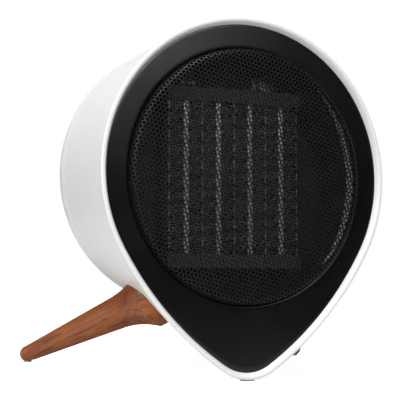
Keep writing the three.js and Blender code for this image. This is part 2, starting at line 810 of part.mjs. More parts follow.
function makeRearCover() {
  const arc = (inset, steps) => {
    const start = Math.asin((splitDepth + clearance - sideDepth) / (body.edgeDepth - inset));
    return Array.from({ length: steps + 1 }, (_, k) => {
      const angle = THREE.MathUtils.lerp(start, Math.PI / 2, k / steps);
      return [backRadius + (body.edgeRadius - inset) * Math.cos(angle),
        sideDepth + (body.edgeDepth - inset) * Math.sin(angle)];
    });
  };
  const inner = arc(cover.wall, 3).reverse();
  const spigotOuter = roundRadius(splitDepth, body.wall) - cover.spigotGap;
  const spigotInner = spigotOuter - cover.spigotWall;
  const spigotFront = splitDepth - cover.spigotLength;
  const shell = turned([[0, body.depth], [0, body.depth - cover.wall], ...inner.slice(0, 2),
    [spigotInner, splitDepth + cover.wall], [spigotInner, spigotFront], [spigotOuter, spigotFront],
    [spigotOuter, splitDepth + clearance], ...arc(0, 5)], 44).translate(0, 0, backCentre);
  const cups = coverScrewPlaces().map(({ x, z }) => (
    rod(coverScrew.headRadius + clearance + coverScrew.cupWall, coverScrewSeat, body.depth, x, z, 16)
  ));
  const trimmedCups = common(join(...cups), filledBody(0.05));
  const wells = coverScrewPlaces().map(({ x, z }) => (
    rod(coverScrew.headRadius + clearance, coverScrewSeat + coverScrew.seat, body.depth + 5, x, z, 16)
  ));
  const screwHoles = coverScrewPlaces().map(({ x, z }) => (
    rod(coverScrew.shankRadius + clearance, coverScrewSeat - 5, body.depth + 5, x, z, 12)
  ));
  const backHole = (radius, x, z) => rod(radius + clearance, body.depth - 10, body.depth + 5, x, z, 16);
  const fittingHoles = [
    ...sides.map(([, side]) => backHole(spindle.radius, side * knobX, knobZ)),
    backHole(lens.radius - lens.lip, 0, lensHeight()),
    backHole(gland.stemRadius, 0, glandHeight()),
  ];
  return cut(join(shell, trimmedCups), ...wells, ...screwHoles, ...fittingHoles, ...intakeSlots());
}

function lensHeight() {
  return knobZ + knob.radius + lens.aboveKnobs;
}

function glandHeight() {
  return backCentre - backRadius + gland.margin;
}

// A turned cap with a bar grip across it and a blind bore for its spindle.
function makeKnob() {
  const skirt = knob.height - knob.gripHeight;
  const shoulder = knob.radius - 1.5 * knob.edge;
  const cap = turned([[0, 0], [knob.radius - knob.edge, 0], [knob.radius, knob.edge],
    [shoulder, skirt - knob.edge], [shoulder - knob.edge, skirt], [0, skirt]], 28);
  const gripLength = 2 * (knob.radius - knob.gripInset);
  const grip = block(knob.gripWidth, knob.height - skirt / 2, gripLength, 0, (knob.height + skirt / 2) / 2);
  const bore = rod(spindle.radius + clearance, -1, spindle.inKnob + clearance, 0, 0, 16);
  return cut(join(cap, grip), bore);
}

function addControls() {
  const outside = body.depth + clearance;
  const inside = body.depth - cover.wall - clearance;
  const names = ['mode', 'thermostat'];
  sides.forEach(([, side], k) => {
    const place = (name, geometry, material) => {
      add(housing, `${names[k]}_${name}`, geometry, material).position.set(side * knobX, 0, knobZ);
    };
    const casing = block(switchBox.width, switchBox.depth, switchBox.height)
      .translate(0, inside - switchBox.depth / 2, 0);
    const pin = rod(spindle.radius, inside - spindle.inBody, outside + spindle.inKnob, 0, 0, 16);
    const well = rod(spindle.radius + clearance, inside - spindle.inBody - clearance, inside + 1, 0, 0, 16);
    place('switch', cut(casing, well), mouldedResin);
    place('spindle', pin, steel);
    place('knob', makeKnob().translate(0, outside, 0), blackPlastic);
  });
}

function addRearFittings() {
  add(housing, 'rear_cover', makeRearCover(), whitePlastic);
  const lensFront = body.depth - lens.stem;
  const lensSeat = body.depth + clearance;
  const stemRadius = lens.radius - lens.lip;
  const lensBody = turned([[0, lensFront], [stemRadius, lensFront], [stemRadius, lensSeat],
    [lens.radius + lens.lip, lensSeat], [lens.radius, lensSeat + lens.proud / 2],
    [lens.radius / 2, lensSeat + lens.proud], [0, lensSeat + lens.proud]], 16);
  add(housing, 'indicator_lens', lensBody, amber).position.z = lensHeight();
  const flangeFront = body.depth + clearance;
  const glandBody = turned([[gland.boreRadius, body.depth - gland.stemLength],
    [gland.stemRadius, body.depth - gland.stemLength], [gland.stemRadius, flangeFront],
    [gland.flangeRadius, flangeFront], [gland.flangeRadius - 1, flangeFront + gland.flange],
    [gland.boreRadius, flangeFront + gland.flange]], 20);
  add(housing, 'cord_gland', glandBody, blackPlastic).position.z = glandHeight();
  const top = roundRadius(tilt.depth, body.wall) - terminalBlock.drop;
  const terminals = block(terminalBlock.width, terminalBlock.depth, terminalBlock.height,
    0, tilt.depth, backCentre + top);
  add(housing, 'terminal_block', terminals, mouldedResin);
  const screw = turned([[0, 0], [coverScrew.headRadius, 0], [coverScrew.headRadius, coverScrew.head * 0.6],
    [coverScrew.headRadius - 1, coverScrew.head], [0, coverScrew.head]], 12);
  const shank = rod(coverScrew.shankRadius, -coverScrew.shankLength, 1, 0, 0, 10);
  coverScrewPlaces().forEach(({ x, z }, k) => {
    const mesh = add(housing, `cover_screw_${k + 1}`, join(screw, shank), steel);
    mesh.position.set(x, coverScrewSeat + coverScrew.seat + clearance, z);
  });
}

// Tip-over switch, on a pedestal at the bottom of the shell

function tiltFloor() {
  const radius = roundRadius(tilt.depth + tilt.size / 2, body.wall);
  const lift = body.lift * Math.min(tilt.depth / body.liftDepth, 1) + rim.topCentre;
  return lift - Math.sqrt(radius ** 2 - (tilt.width / 2) ** 2) + tilt.floorGap;
}

function addTiltSwitch() {
  const middle = tiltFloor() + tilt.size / 2;
  const cavity = tilt.size - 2 * tilt.wall;
  const pinHeight = cavity / 2 - tilt.eyeRadius - 0.5;
  const shellBox = block(tilt.width, tilt.size, tilt.size);
  const hollow = block(tilt.width, cavity, cavity, tilt.wall);
  const pin = new THREE.CylinderGeometry(tilt.pinRadius, tilt.pinRadius, tilt.width - 1, 12)
    .rotateZ(Math.PI / 2).translate(0, 0, pinHeight);
  const casing = add(housing, 'tilt_switch_case', join(cut(shellBox, hollow), pin), mouldedResin);
  casing.position.set(0, tilt.depth, middle);
  const disc = (radius, width, z) => new THREE.CylinderGeometry(radius, radius, width, 14)
    .rotateZ(Math.PI / 2).translate(0, 0, z);
  const arm = block(tilt.armWidth, tilt.armWidth, tilt.armLength, 0, 0, -tilt.armLength / 2);
  const hole = disc(tilt.pinRadius + clearance, tilt.width, 0);
  const weight = join(disc(tilt.eyeRadius, tilt.armWidth, 0), arm,
    disc(tilt.weightRadius, tilt.weightWidth, -tilt.armLength));
  const pendulum = add(housing, 'tilt_pendulum', cut(weight, hole), steel);
  pendulum.position.set(tilt.wall / 2, tilt.depth, middle + pinHeight);
}

// Legs and feet, in the heater frame

function makeLeg(axis, bodySolid) {
  const taper = (length) => leg.footRadius + leg.growth * length;
  const flared = (length) => taper(length) + leg.flare * ((length - leg.flareStart) / leg.flareLength) ** 2;
  const flare = [0, 0.2, 0.4, 0.6, 0.8, 1].map((step) => {
    const length = THREE.MathUtils.lerp(leg.flareStart, leg.flareEnd, step);
    return [flared(length), length];
  });
  const toe = [90, 65, 40, 15].map((degrees) => {
    const angle = THREE.MathUtils.degToRad(degrees);
    return [leg.footRadius * Math.cos(angle), -leg.footRadius * Math.sin(angle)];
  });
  const end = axis.aimLength + leg.insideLength;
  const turnedLeg = turned([...toe, ...flare, [taper(leg.flareEnd), end], [0, end]], 22);
  const ground = block(100, 100, 50, axis.foot.x, axis.foot.y, legPad.thickness + clearance - 25);
  const boreStart = legEntry(axis) - legScrew.grip - 2;
  const bore = onLeg(rod(legScrew.shankRadius + clearance, boreStart, end, 0, 0, 14), axis);
  return cut(onLeg(turnedLeg, axis), bodySolid, ground, bore);
}

function addLegs() {
  const bodySolid = filledBody(-clearance).applyMatrix4(housing.matrixWorld);
  for (const [name, side] of sides) {
    const axis = legAxis(side);
    const seat = legEntry(axis) + legScrew.bossLength + clearance;
    add(heater, `rear_leg_${name}`, makeLeg(axis, bodySolid), walnut);
    const screw = join(rod(legScrew.headRadius, seat, seat + legScrew.head, 0, 0, 14),
      rod(legScrew.shankRadius, legEntry(axis) - legScrew.grip, seat + 1, 0, 0, 10));
    add(heater, `leg_screw_${name}`, onLeg(screw, axis), steel);
    const pad = new THREE.CylinderGeometry(legPad.radius, legPad.radius, legPad.thickness, 20)
      .rotateX(Math.PI / 2)
      .translate(axis.foot.x, axis.foot.y, legPad.thickness / 2);
    add(heater, `leg_pad_${name}`, pad, rubber);
  }
  const front = -Math.sin(THREE.MathUtils.degToRad(recline)) * (rim.tipRadius - rim.tipCentre);
  const padBlock = block(frontPad.width, frontPad.length, 10)
    .translate(0, front + frontPad.start + frontPad.length / 2, 5);
  add(heater, 'front_pad', cut(padBlock, bodySolid), rubber);
}

add(housing, 'body_shell', makeBodyShell(), whitePlastic);
add(housing, 'front_bezel', makeBezel(), blackPlastic);
add(housing, 'front_grille', makeGrille(), perforatedSteel);
add(housing, 'grille_retainer', makeRetainer(), darkPlastic);
add(housing, 'baffle_plate', makeBaffle(), darkPlastic);
add(housing, 'air_duct', makeDuct(), mouldedResin);
addHeatingCore();
addThermalGuards();
addFan();
addRearFittings();
addControls();
addTiltSwitch();
addLegs();

// The origin is on the ground, at the middle of the heater's plan.
heater.updateMatrixWorld(true);
const plan = new THREE.Box3().setFromObject(heater);
heater.position.y = -(plan.min.y + plan.max.y) / 2;

export default heater;
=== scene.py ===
# A teardrop-faced ceramic heater on two wooden legs: its looks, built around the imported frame.
# Metres, x to the viewer's right, y back from the face, z up. The housing leans back a little, so most pieces
# are made in its own directions first: x, depth behind the rim's front edge, and height up the face.

import json
import math

import bmesh
import bpy
from mathutils import Matrix, Vector


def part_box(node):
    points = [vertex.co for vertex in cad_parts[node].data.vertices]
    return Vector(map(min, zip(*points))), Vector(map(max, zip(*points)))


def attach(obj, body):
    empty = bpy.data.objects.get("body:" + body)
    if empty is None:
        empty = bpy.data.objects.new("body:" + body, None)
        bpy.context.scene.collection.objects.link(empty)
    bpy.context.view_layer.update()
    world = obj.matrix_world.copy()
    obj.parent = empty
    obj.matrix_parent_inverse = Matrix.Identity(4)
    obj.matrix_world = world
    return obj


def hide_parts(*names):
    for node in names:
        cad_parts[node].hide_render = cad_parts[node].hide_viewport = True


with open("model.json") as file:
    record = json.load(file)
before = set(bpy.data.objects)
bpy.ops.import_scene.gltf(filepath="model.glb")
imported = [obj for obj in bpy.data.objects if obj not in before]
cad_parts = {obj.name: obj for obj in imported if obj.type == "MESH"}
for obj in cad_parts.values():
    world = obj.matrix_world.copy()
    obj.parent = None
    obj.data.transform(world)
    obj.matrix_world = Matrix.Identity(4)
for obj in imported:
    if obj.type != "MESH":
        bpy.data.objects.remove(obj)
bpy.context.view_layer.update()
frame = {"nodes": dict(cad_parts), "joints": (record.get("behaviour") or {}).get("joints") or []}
nodes = frame["nodes"]
joints = {joint["name"]: joint for joint in frame["joints"]}
print("frame loaded:", len(nodes), "nodes")

# the housing's directions and the middle of its face come from the fan's axis
fanAbove = 0.0084
backWay = Vector(joints["fan_spin"]["axis"])
upFace = Vector((0, -backWay.z, backWay.y))
faceCentre = Vector(joints["fan_spin"]["pos_m"]) - upFace * fanAbove
housingPlace = Matrix((
    (1, backWay.x, upFace.x, faceCentre.x),
    (0, backWay.y, upFace.y, faceCentre.y),
    (0, backWay.z, upFace.z, faceCentre.z),
    (0, 0, 0, 1),
))
toHousing = housingPlace.inverted()

# the body's form, as the frame has it
form = {
    "topRadius": 0.125, "topCentre": 0.0013, "flankRadius": 0.267, "tipRadius": 0.040, "tipCentre": -0.1195,
    "lipWidth": 0.0032, "edgeRound": 0.0012, "lipSoft": 0.0005, "faceInset": 0.005, "faceDepth": 0.004,
    "depth": 0.168, "taper": 0.014, "edgeDepth": 0.050, "edgeRadius": 0.038, "edgeSplit": 50, "blendDepth": 0.053,
    "lift": 0.0071, "liftDepth": 0.120, "wall": 0.0026, "ledgeWidth": 0.004, "ledgeDepth": 0.0071,
    "ledgeThickness": 0.0024, "openingRadius": 0.1016, "gap": 0.0003, "around": 208,
}
sideDepth = form["depth"] - form["edgeDepth"]
sideRadius = form["topRadius"] - form["taper"]
backRadius = sideRadius - form["edgeRadius"]
splitDepth = sideDepth + form["edgeDepth"] * math.sin(math.radians(form["edgeSplit"]))


def mix(a, b, share):
    return a + (b - a) * share


def smoothShare(value, end):
    share = min(max(value / end, 0), 1)
    return share * share * (3 - 2 * share)


# where the flank arcs touch the top and tip arcs, as points of the outline without inset
def flankPlace():
    span = form["topCentre"] - form["tipCentre"]
    toTop = form["flankRadius"] - form["topRadius"]
    toTip = form["flankRadius"] - form["tipRadius"]
    rise = (toTip ** 2 - toTop ** 2 + span ** 2) / (2 * span)
    return Vector((-math.sqrt(toTip ** 2 - rise ** 2), form["tipCentre"] + rise))


topPlace = Vector((0, form["topCentre"]))
tipPlace = Vector((0, form["tipCentre"]))
flankCentre = flankPlace()


def arcEnd(centre, radius):
    way = (centre - flankCentre).normalized()
    point = centre + way * radius
    return math.atan2(point.x, point.y)


def alongRay(angle, centre, radius):
    along = centre.x * math.sin(angle) + centre.y * math.cos(angle)
    return along + math.sqrt(max(along ** 2 - centre.length_squared + radius ** 2, 0))


# distance from the grille's centre to the teardrop, drawn in by an inset
def teardrop(angle, inset=0.0):
    side = abs(math.remainder(angle, 2 * math.pi))
    if side < arcEnd(topPlace, form["topRadius"] - inset):
        return alongRay(side, topPlace, form["topRadius"] - inset)
    if side < arcEnd(tipPlace, form["tipRadius"] - inset):
        return alongRay(side, flankCentre, form["flankRadius"] - inset)
    return alongRay(side, tipPlace, form["tipRadius"] - inset)


def roundRadius(depth, inset):
    if depth <= sideDepth:
        return mix(form["topRadius"], sideRadius, depth / sideDepth) - inset
    rise = min((depth - sideDepth) / (form["edgeDepth"] - inset), 1)
    return backRadius + (form["edgeRadius"] - inset) * math.sqrt(1 - rise ** 2)


# a point of the body's section: a teardrop in front, a circle from the blend depth back
def bodyPoint(angle, depth, inset=0.0):
    blend = smoothShare(depth, form["blendDepth"])
    scale = roundRadius(depth, 0) / form["topRadius"]
    lift = form["lift"] * min(depth / form["liftDepth"], 1) + form["topCentre"] * blend
    radius = mix(teardrop(angle, inset) * scale, roundRadius(depth, inset), blend)
    return Vector((radius * math.sin(angle), depth, radius * math.cos(angle) + lift))


def facePoint(angle, depth, inset):
    radius = teardrop(angle, inset) * roundRadius(depth, 0) / form["topRadius"]
    return Vector((radius * math.sin(angle), depth, radius * math.cos(angle)))


# the share of a turn at which a ring's vertex stands gives its angle, closer together at the tip
def ringAngle(share):
    return 2 * math.pi * share + 0.55 * math.sin(2 * math.pi * share)


# rings grown one from another by extruding edges; each section turns a share of a turn into a point
def loft(sections, around, closed=False, capped=False):
    mesh = bmesh.new()
    turn = mesh.verts.layers.float.new("turn")
    start = bmesh.ops.create_circle(mesh, segments=around, radius=1)
    for vert in start["verts"]:
        vert[turn] = (math.atan2(vert.co.x, vert.co.y) / (2 * math.pi)) % 1
    edges = mesh.edges[:]
    firstEdges = edges
    for vert in mesh.verts:
        vert.co = sections[0](vert[turn])
    for section in sections[1:]:
        grown = bmesh.ops.extrude_edge_only(mesh, edges=edges)["geom"]
        verts = {part for part in grown if isinstance(part, bmesh.types.BMVert)}
        edges = [part for part in grown if isinstance(part, bmesh.types.BMEdge)
                 and part.verts[0] in verts and part.verts[1] in verts]
        for vert in verts:
            vert.co = section(vert[turn])
    if closed:
        bmesh.ops.bridge_loops(mesh, edges=firstEdges + edges)
    if capped:
        bmesh.ops.contextual_create(mesh, geom=firstEdges)
        bmesh.ops.contextual_create(mesh, geom=edges)
    return mesh


# a closed profile of (radius, depth) pairs spun about the depth axis
def turned(profile, steps, place=(0, 0, 0)):
    mesh = bmesh.new()
    verts = [mesh.verts.new((radius, depth, 0)) for radius, depth in profile]
    onAxis = profile[0][0] == 0 and profile[-1][0] == 0
    edges = [mesh.edges.new((verts[k - 1], verts[k])) for k in range(1 if onAxis else 0, len(verts))]
    bmesh.ops.spin(mesh, geom=verts + edges, cent=(0, 0, 0), axis=(0, 1, 0), angle=2 * math.pi, steps=steps,
                   use_merge=True)
    bmesh.ops.remove_doubles(mesh, verts=mesh.verts[:], dist=1e-7)
    bmesh.ops.dissolve_degenerate(mesh, edges=mesh.edges[:], dist=1e-7)
    bmesh.ops.recalc_face_normals(mesh, faces=mesh.faces[:])
    bmesh.ops.translate(mesh, verts=mesh.verts[:], vec=place)
    return mesh


# a block with softened edges
def softBlock(size, place, soft, segments=2):
    mesh = bmesh.new()
    bmesh.ops.create_cube(mesh, size=1)
    bmesh.ops.scale(mesh, verts=mesh.verts[:], vec=size)
    bmesh.ops.bevel(mesh, geom=mesh.edges[:], offset=soft, segments=segments, profile=0.5, affect="EDGES",
                    material=-1)
    bmesh.ops.translate(mesh, verts=mesh.verts[:], vec=place)
    return mesh


# adds a second bmesh to the first and frees it
def gather(mesh, *others):
    for other in others:
        spare = bpy.data.meshes.new("spare")
        other.to_mesh(spare)
        other.free()
        mesh.from_mesh(spare)
        bpy.data.meshes.remove(spare)
    return mesh


# makes the object of a bmesh, smooth but for its sharp edges, riding on a body and standing for its nodes
def makePiece(name, mesh, material, body="housing", standsFor=(), place=housingPlace, sharp=32,
              recalc=True):
    if recalc:
        bmesh.ops.recalc_face_normals(mesh, faces=mesh.faces[:])
    mesh.transform(place)
    for face in mesh.faces:
        face.smooth = True
    for edge in mesh.edges:
        if len(edge.link_faces) == 2 and edge.calc_face_angle(0) > math.radians(sharp):
            edge.smooth = False
    data = bpy.data.meshes.new(name)
    mesh.to_mesh(data)
    mesh.free()
    piece = bpy.data.objects.new(name, data)
    bpy.context.scene.collection.objects.link(piece)
    data.materials.append(material)
    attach(piece, body)
    if standsFor:
        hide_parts(*standsFor)
    return piece


# cuts one bmesh with another and gives the bmesh that is left
def carve(mesh, cutter):
    pair = []
    for name, part in (("carved", mesh), ("cutter", cutter)):
        data = bpy.data.meshes.new(name)
        part.to_mesh(data)
        part.free()
        item = bpy.data.objects.new(name, data)
        bpy.context.scene.collection.objects.link(item)
        pair.append(item)
    modifier = pair[0].modifiers.new("carve", "BOOLEAN")
    modifier.operation = "DIFFERENCE"
    modifier.solver = "EXACT"
    modifier.object = pair[1]
    bpy.context.view_layer.update()
    result = pair[0].evaluated_get(bpy.context.evaluated_depsgraph_get())
    left = bmesh.new()
    left.from_mesh(result.to_mesh())
    result.to_mesh_clear()
    for item in pair:
        data = item.data
        bpy.data.objects.remove(item)
        bpy.data.meshes.remove(data)
    return left


# Shader groups that several finishes share

def startGroup(name, inputs, outputs):
    group = bpy.data.node_groups.new(name, "ShaderNodeTree")
    for label, kind, value in inputs:
        socket = group.interface.new_socket(name=label, in_out="INPUT", socket_type=kind)
        if value is not None:
            socket.default_value = value
    for label, kind in outputs:
        group.interface.new_socket(name=label, in_out="OUTPUT", socket_type=kind)
    return group, group.nodes.new("NodeGroupInput"), group.nodes.new("NodeGroupOutput")


def addNode(tree, kind, values=None, **settings):
    node = tree.nodes.new(kind)
    for key, value in settings.items():
        setattr(node, key, value)
    for key, value in (values or {}).items():
        node.inputs[key].default_value = value
    return node


def calculate(tree, operation, first, second=None, clamp=False):
    node = addNode(tree, "ShaderNodeMath", operation=operation, use_clamp=clamp)
    for socket, value in zip(node.inputs, (first, second)):
        if isinstance(value, (int, float)):
            socket.default_value = value
        elif value is not None:
            tree.links.new(value, socket)
    return node.outputs[0]


def remap(tree, value, fromLow, fromHigh, toLow, toHigh):
    node = addNode(tree, "ShaderNodeMapRange")
    tree.links.new(value, node.inputs["Value"])
    for key, number in (("From Min", fromLow), ("From Max", fromHigh), ("To Min", toLow), ("To Max", toHigh)):
        if isinstance(number, (int, float)):
            node.inputs[key].default_value = number
        else:
            tree.links.new(number, node.inputs[key])
    return node.outputs["Result"]


def mixColour(tree, share, first, second, blend="MIX"):
    node = addNode(tree, "ShaderNodeMix", data_type="RGBA", blend_type=blend)
    for socket, value in ((node.inputs[0], share), (node.inputs[6], first), (node.inputs[7], second)):
        if isinstance(value, (int, float)):
            socket.default_value = value
        elif isinstance(value, tuple):
            socket.default_value = (*value, 1)
        else:
            tree.links.new(value, socket)
    return node.outputs[2]


def noise(tree, vector, scale, detail=3.0, roughness=0.5):
    node = addNode(tree, "ShaderNodeTexNoise", {"Detail": detail, "Roughness": roughness})
    tree.links.new(vector, node.inputs["Vector"])
    if isinstance(scale, (int, float)):
        node.inputs["Scale"].default_value = scale
    else:
        tree.links.new(scale, node.inputs["Scale"])
    return node.outputs["Fac"]


# the fine pebbled skin of moulded plastic: a height, and an uneven tone
def makeMouldGrain():
    group, given, out = startGroup(
        "mouldGrain",
        [("Grain Size", "NodeSocketFloat", 1800.0), ("Cloud Size", "NodeSocketFloat", 28.0)],
        [("Height", "NodeSocketFloat"), ("Cloud", "NodeSocketFloat")])
    place = addNode(group, "ShaderNodeTexCoord").outputs["Object"]
    pebble = addNode(group, "ShaderNodeTexVoronoi", feature="SMOOTH_F1")
    group.links.new(place, pebble.inputs["Vector"])
    group.links.new(given.outputs["Grain Size"], pebble.inputs["Scale"])
    speckle = noise(group, place, given.outputs["Grain Size"], 2.0)
    group.links.new(calculate(group, "ADD", pebble.outputs["Distance"], speckle), out.inputs["Height"])
    group.links.new(noise(group, place, given.outputs["Cloud Size"], 4.0, 0.55), out.inputs["Cloud"])
    return group


# edges and corners, where handling polishes a surface and chips its colour: a mask broken up by noise
def makeEdgeWear():
    group, given, out = startGroup(
        "edgeWear",
        [("Breadth", "NodeSocketFloat", 0.0008), ("Break Up", "NodeSocketFloat", 400.0)],
        [("Wear", "NodeSocketFloat"), ("Dust", "NodeSocketFloat")])
    shape = addNode(group, "ShaderNodeNewGeometry")
    place = addNode(group, "ShaderNodeTexCoord").outputs["Object"]
    soft = addNode(group, "ShaderNodeBevel", samples=4)
    group.links.new(given.outputs["Breadth"], soft.inputs["Radius"])
    turnAway = addNode(group, "ShaderNodeVectorMath", operation="DOT_PRODUCT")
    group.links.new(soft.outputs["Normal"], turnAway.inputs[0])
    group.links.new(shape.outputs["Normal"], turnAway.inputs[1])
    edge = remap(group, turnAway.outputs["Value"], 0.995, 0.90, 0.0, 1.0)
    broken = remap(group, noise(group, place, given.outputs["Break Up"], 5.0, 0.6), 0.42, 0.62, 0.0, 1.0)
    group.links.new(calculate(group, "MULTIPLY", edge, broken, clamp=True), out.inputs["Wear"])
    upward = addNode(group, "ShaderNodeSeparateXYZ")
    group.links.new(shape.outputs["Normal"], upward.inputs[0])
    flat = remap(group, upward.outputs["Z"], 0.25, 1.0, 0.0, 1.0)
    settled = remap(group, noise(group, place, 90.0, 6.0, 0.65), 0.45, 0.75, 0.0, 1.0)
    group.links.new(calculate(group, "MULTIPLY", flat, settled, clamp=True), out.inputs["Dust"])
    return group


# the drawn lines of rolled or machined metal, along one direction of the object
def makeDrawnLines():
    group, given, out = startGroup(
        "drawnLines",
        [("Stretch", "NodeSocketVector", (1.0, 1.0, 1.0)), ("Line Size", "NodeSocketFloat", 900.0)],
        [("Line", "NodeSocketFloat"), ("Stain", "NodeSocketFloat")])
    place = addNode(group, "ShaderNodeTexCoord").outputs["Object"]
    stretched = addNode(group, "ShaderNodeVectorMath", operation="MULTIPLY")
    group.links.new(place, stretched.inputs[0])
    group.links.new(given.outputs["Stretch"], stretched.inputs[1])
    group.links.new(noise(group, stretched.outputs[0], given.outputs["Line Size"], 3.0), out.inputs["Line"])
    group.links.new(noise(group, place, 60.0, 5.0, 0.6), out.inputs["Stain"])
    return group


# wood grain along x: growth rings seen lengthwise, dark veins and short pores
def makeWoodGrain():
    group, given, out = startGroup(
        "woodGrain",
        [("Vector", "NodeSocketVector", (0.0, 0.0, 0.0)), ("Ring Size", "NodeSocketFloat", 150.0),
         ("Waver", "NodeSocketFloat", 0.35)],
        [("Ring", "NodeSocketFloat"), ("Vein", "NodeSocketFloat"), ("Pore", "NodeSocketFloat"),
         ("Patch", "NodeSocketFloat")])
    vector = given.outputs["Vector"]

    def squeezed(along, across):
        node = addNode(group, "ShaderNodeVectorMath", {1: (along, across, across)}, operation="MULTIPLY")
        group.links.new(vector, node.inputs[0])
        return node.outputs[0]

    drift = addNode(group, "ShaderNodeTexNoise", {"Scale": 22.0, "Detail": 2.0})
    group.links.new(squeezed(0.35, 1.0), drift.inputs["Vector"])
    swing = addNode(group, "ShaderNodeVectorMath", operation="SCALE")
    group.links.new(drift.outputs["Color"], swing.inputs[0])
    group.links.new(calculate(group, "MULTIPLY", given.outputs["Waver"], 0.01), swing.inputs["Scale"])
    moved = addNode(group, "ShaderNodeVectorMath", operation="ADD")
    group.links.new(squeezed(0.06, 1.0), moved.inputs[0])
    group.links.new(swing.outputs[0], moved.inputs[1])
    rings = addNode(group, "ShaderNodeTexWave", {"Distortion": 2.2, "Detail": 3.0, "Detail Scale": 1.4,
                                                 "Detail Roughness": 0.6},
                    wave_type="BANDS", bands_direction="DIAGONAL", wave_profile="SAW")
    group.links.new(moved.outputs[0], rings.inputs["Vector"])
    group.links.new(given.outputs["Ring Size"], rings.inputs["Scale"])
    group.links.new(rings.outputs["Fac"], out.inputs["Ring"])
    vein = noise(group, squeezed(0.05, 1.0), 330.0, 3.0, 0.55)
    group.links.new(remap(group, vein, 0.56, 0.66, 0.0, 1.0), out.inputs["Vein"])
    pore = noise(group, squeezed(0.07, 1.0), 1500.0, 2.0, 0.5)
    group.links.new(remap(group, pore, 0.60, 0.72, 0.0, 1.0), out.inputs["Pore"])
    group.links.new(noise(group, squeezed(0.3, 1.0), 38.0, 3.0), out.inputs["Patch"])
    return group


mouldGrain = makeMouldGrain()
edgeWear = makeEdgeWear()
drawnLines = makeDrawnLines()
woodGrain = makeWoodGrain()
print("shader groups made")


# Finishes

def startMaterial(name, shown):
    material = bpy.data.materials.new(name)
    material.use_nodes = True
    material.diffuse_color = (*shown, 1)
    return material, material.node_tree, material.node_tree.nodes["Principled BSDF"]


def useGroup(tree, group, values=None):
    node = tree.nodes.new("ShaderNodeGroup")
    node.node_tree = group
    for key, value in (values or {}).items():
        node.inputs[key].default_value = value
    return node


def addBump(tree, shader, height, distance, strength=1.0):
    bump = addNode(tree, "ShaderNodeBump", {"Strength": strength, "Distance": distance})
    tree.links.new(height, bump.inputs["Height"])
    tree.links.new(bump.outputs["Normal"], shader.inputs["Normal"])


plastics = {
    "shellWhite": {"colour": (0.80, 0.80, 0.79), "tint": (0.765, 0.765, 0.75), "rough": (0.34, 0.44),
                   "grain": 1500.0, "bump": 0.000012, "worn": (0.84, 0.84, 0.83), "dust": (0.55, 0.52, 0.47),
                   "dustShare": 0.05},
    "fasciaBlack": {"colour": (0.0026, 0.0026, 0.0028), "tint": (0.0036, 0.0035, 0.0037), "rough": (0.20, 0.25),
                    "grain": 2200.0, "bump": 0.000014, "worn": (0.030, 0.030, 0.031), "dust": (0.10, 0.095, 0.09),
                    "dustShare": 0.10},
    "innerBlack": {"colour": (0.012, 0.012, 0.013), "tint": (0.019, 0.018, 0.018), "rough": (0.55, 0.72),
                   "grain": 1300.0, "bump": 0.00003, "worn": (0.03, 0.03, 0.03), "dust": (0.09, 0.085, 0.08),
                   "dustShare": 0.30},
    "mouldedResin": {"colour": (0.085, 0.080, 0.072), "tint": (0.065, 0.060, 0.055), "rough": (0.58, 0.74),
                     "grain": 1100.0, "bump": 0.00004, "worn": (0.13, 0.12, 0.11), "dust": (0.13, 0.12, 0.11),
                     "dustShare": 0.25},
    "knobBlack": {"colour": (0.014, 0.014, 0.015), "tint": (0.021, 0.020, 0.020), "rough": (0.38, 0.52),
                  "grain": 1700.0, "bump": 0.00002, "worn": (0.055, 0.055, 0.055), "dust": (0.10, 0.095, 0.09),
                  "dustShare": 0.12},
    "markGrey": {"colour": (0.24, 0.24, 0.24), "tint": (0.19, 0.19, 0.19), "rough": (0.45, 0.60), "grain": 1700.0,
                 "bump": 0.00001, "worn": (0.35, 0.35, 0.35), "dust": (0.2, 0.19, 0.18), "dustShare": 0.10},
    "footRubber": {"colour": (0.42, 0.41, 0.39), "tint": (0.33, 0.32, 0.30), "rough": (0.70, 0.88), "grain": 900.0,
                   "bump": 0.00004, "worn": (0.30, 0.29, 0.27), "dust": (0.20, 0.18, 0.16), "dustShare": 0.30},
}


def makePlastic(name):
    look = plastics[name]
    material, tree, shader = startMaterial(name, look["colour"])
    grain = useGroup(tree, mouldGrain, {"Grain Size": look["grain"]})
    wear = useGroup(tree, edgeWear)
    cloud = remap(tree, grain.outputs["Cloud"], 0.32, 0.68, 0.0, 1.0)
    tone = mixColour(tree, cloud, look["colour"], look["tint"])
    tone = mixColour(tree, calculate(tree, "MULTIPLY", wear.outputs["Wear"], 0.5), tone, look["worn"])
    dusty = calculate(tree, "MULTIPLY", wear.outputs["Dust"], look["dustShare"])
    tree.links.new(mixColour(tree, dusty, tone, look["dust"]), shader.inputs["Base Color"])
    rough = remap(tree, cloud, 0.0, 1.0, *look["rough"])
    polished = calculate(tree, "MULTIPLY", wear.outputs["Wear"], -0.08)
    rough = calculate(tree, "ADD", rough, polished)
    rough = calculate(tree, "ADD", rough, calculate(tree, "MULTIPLY", dusty, 0.5))
    tree.links.new(rough, shader.inputs["Roughness"])
    addBump(tree, shader, grain.outputs["Height"], look["bump"])
    return material, tree, shader


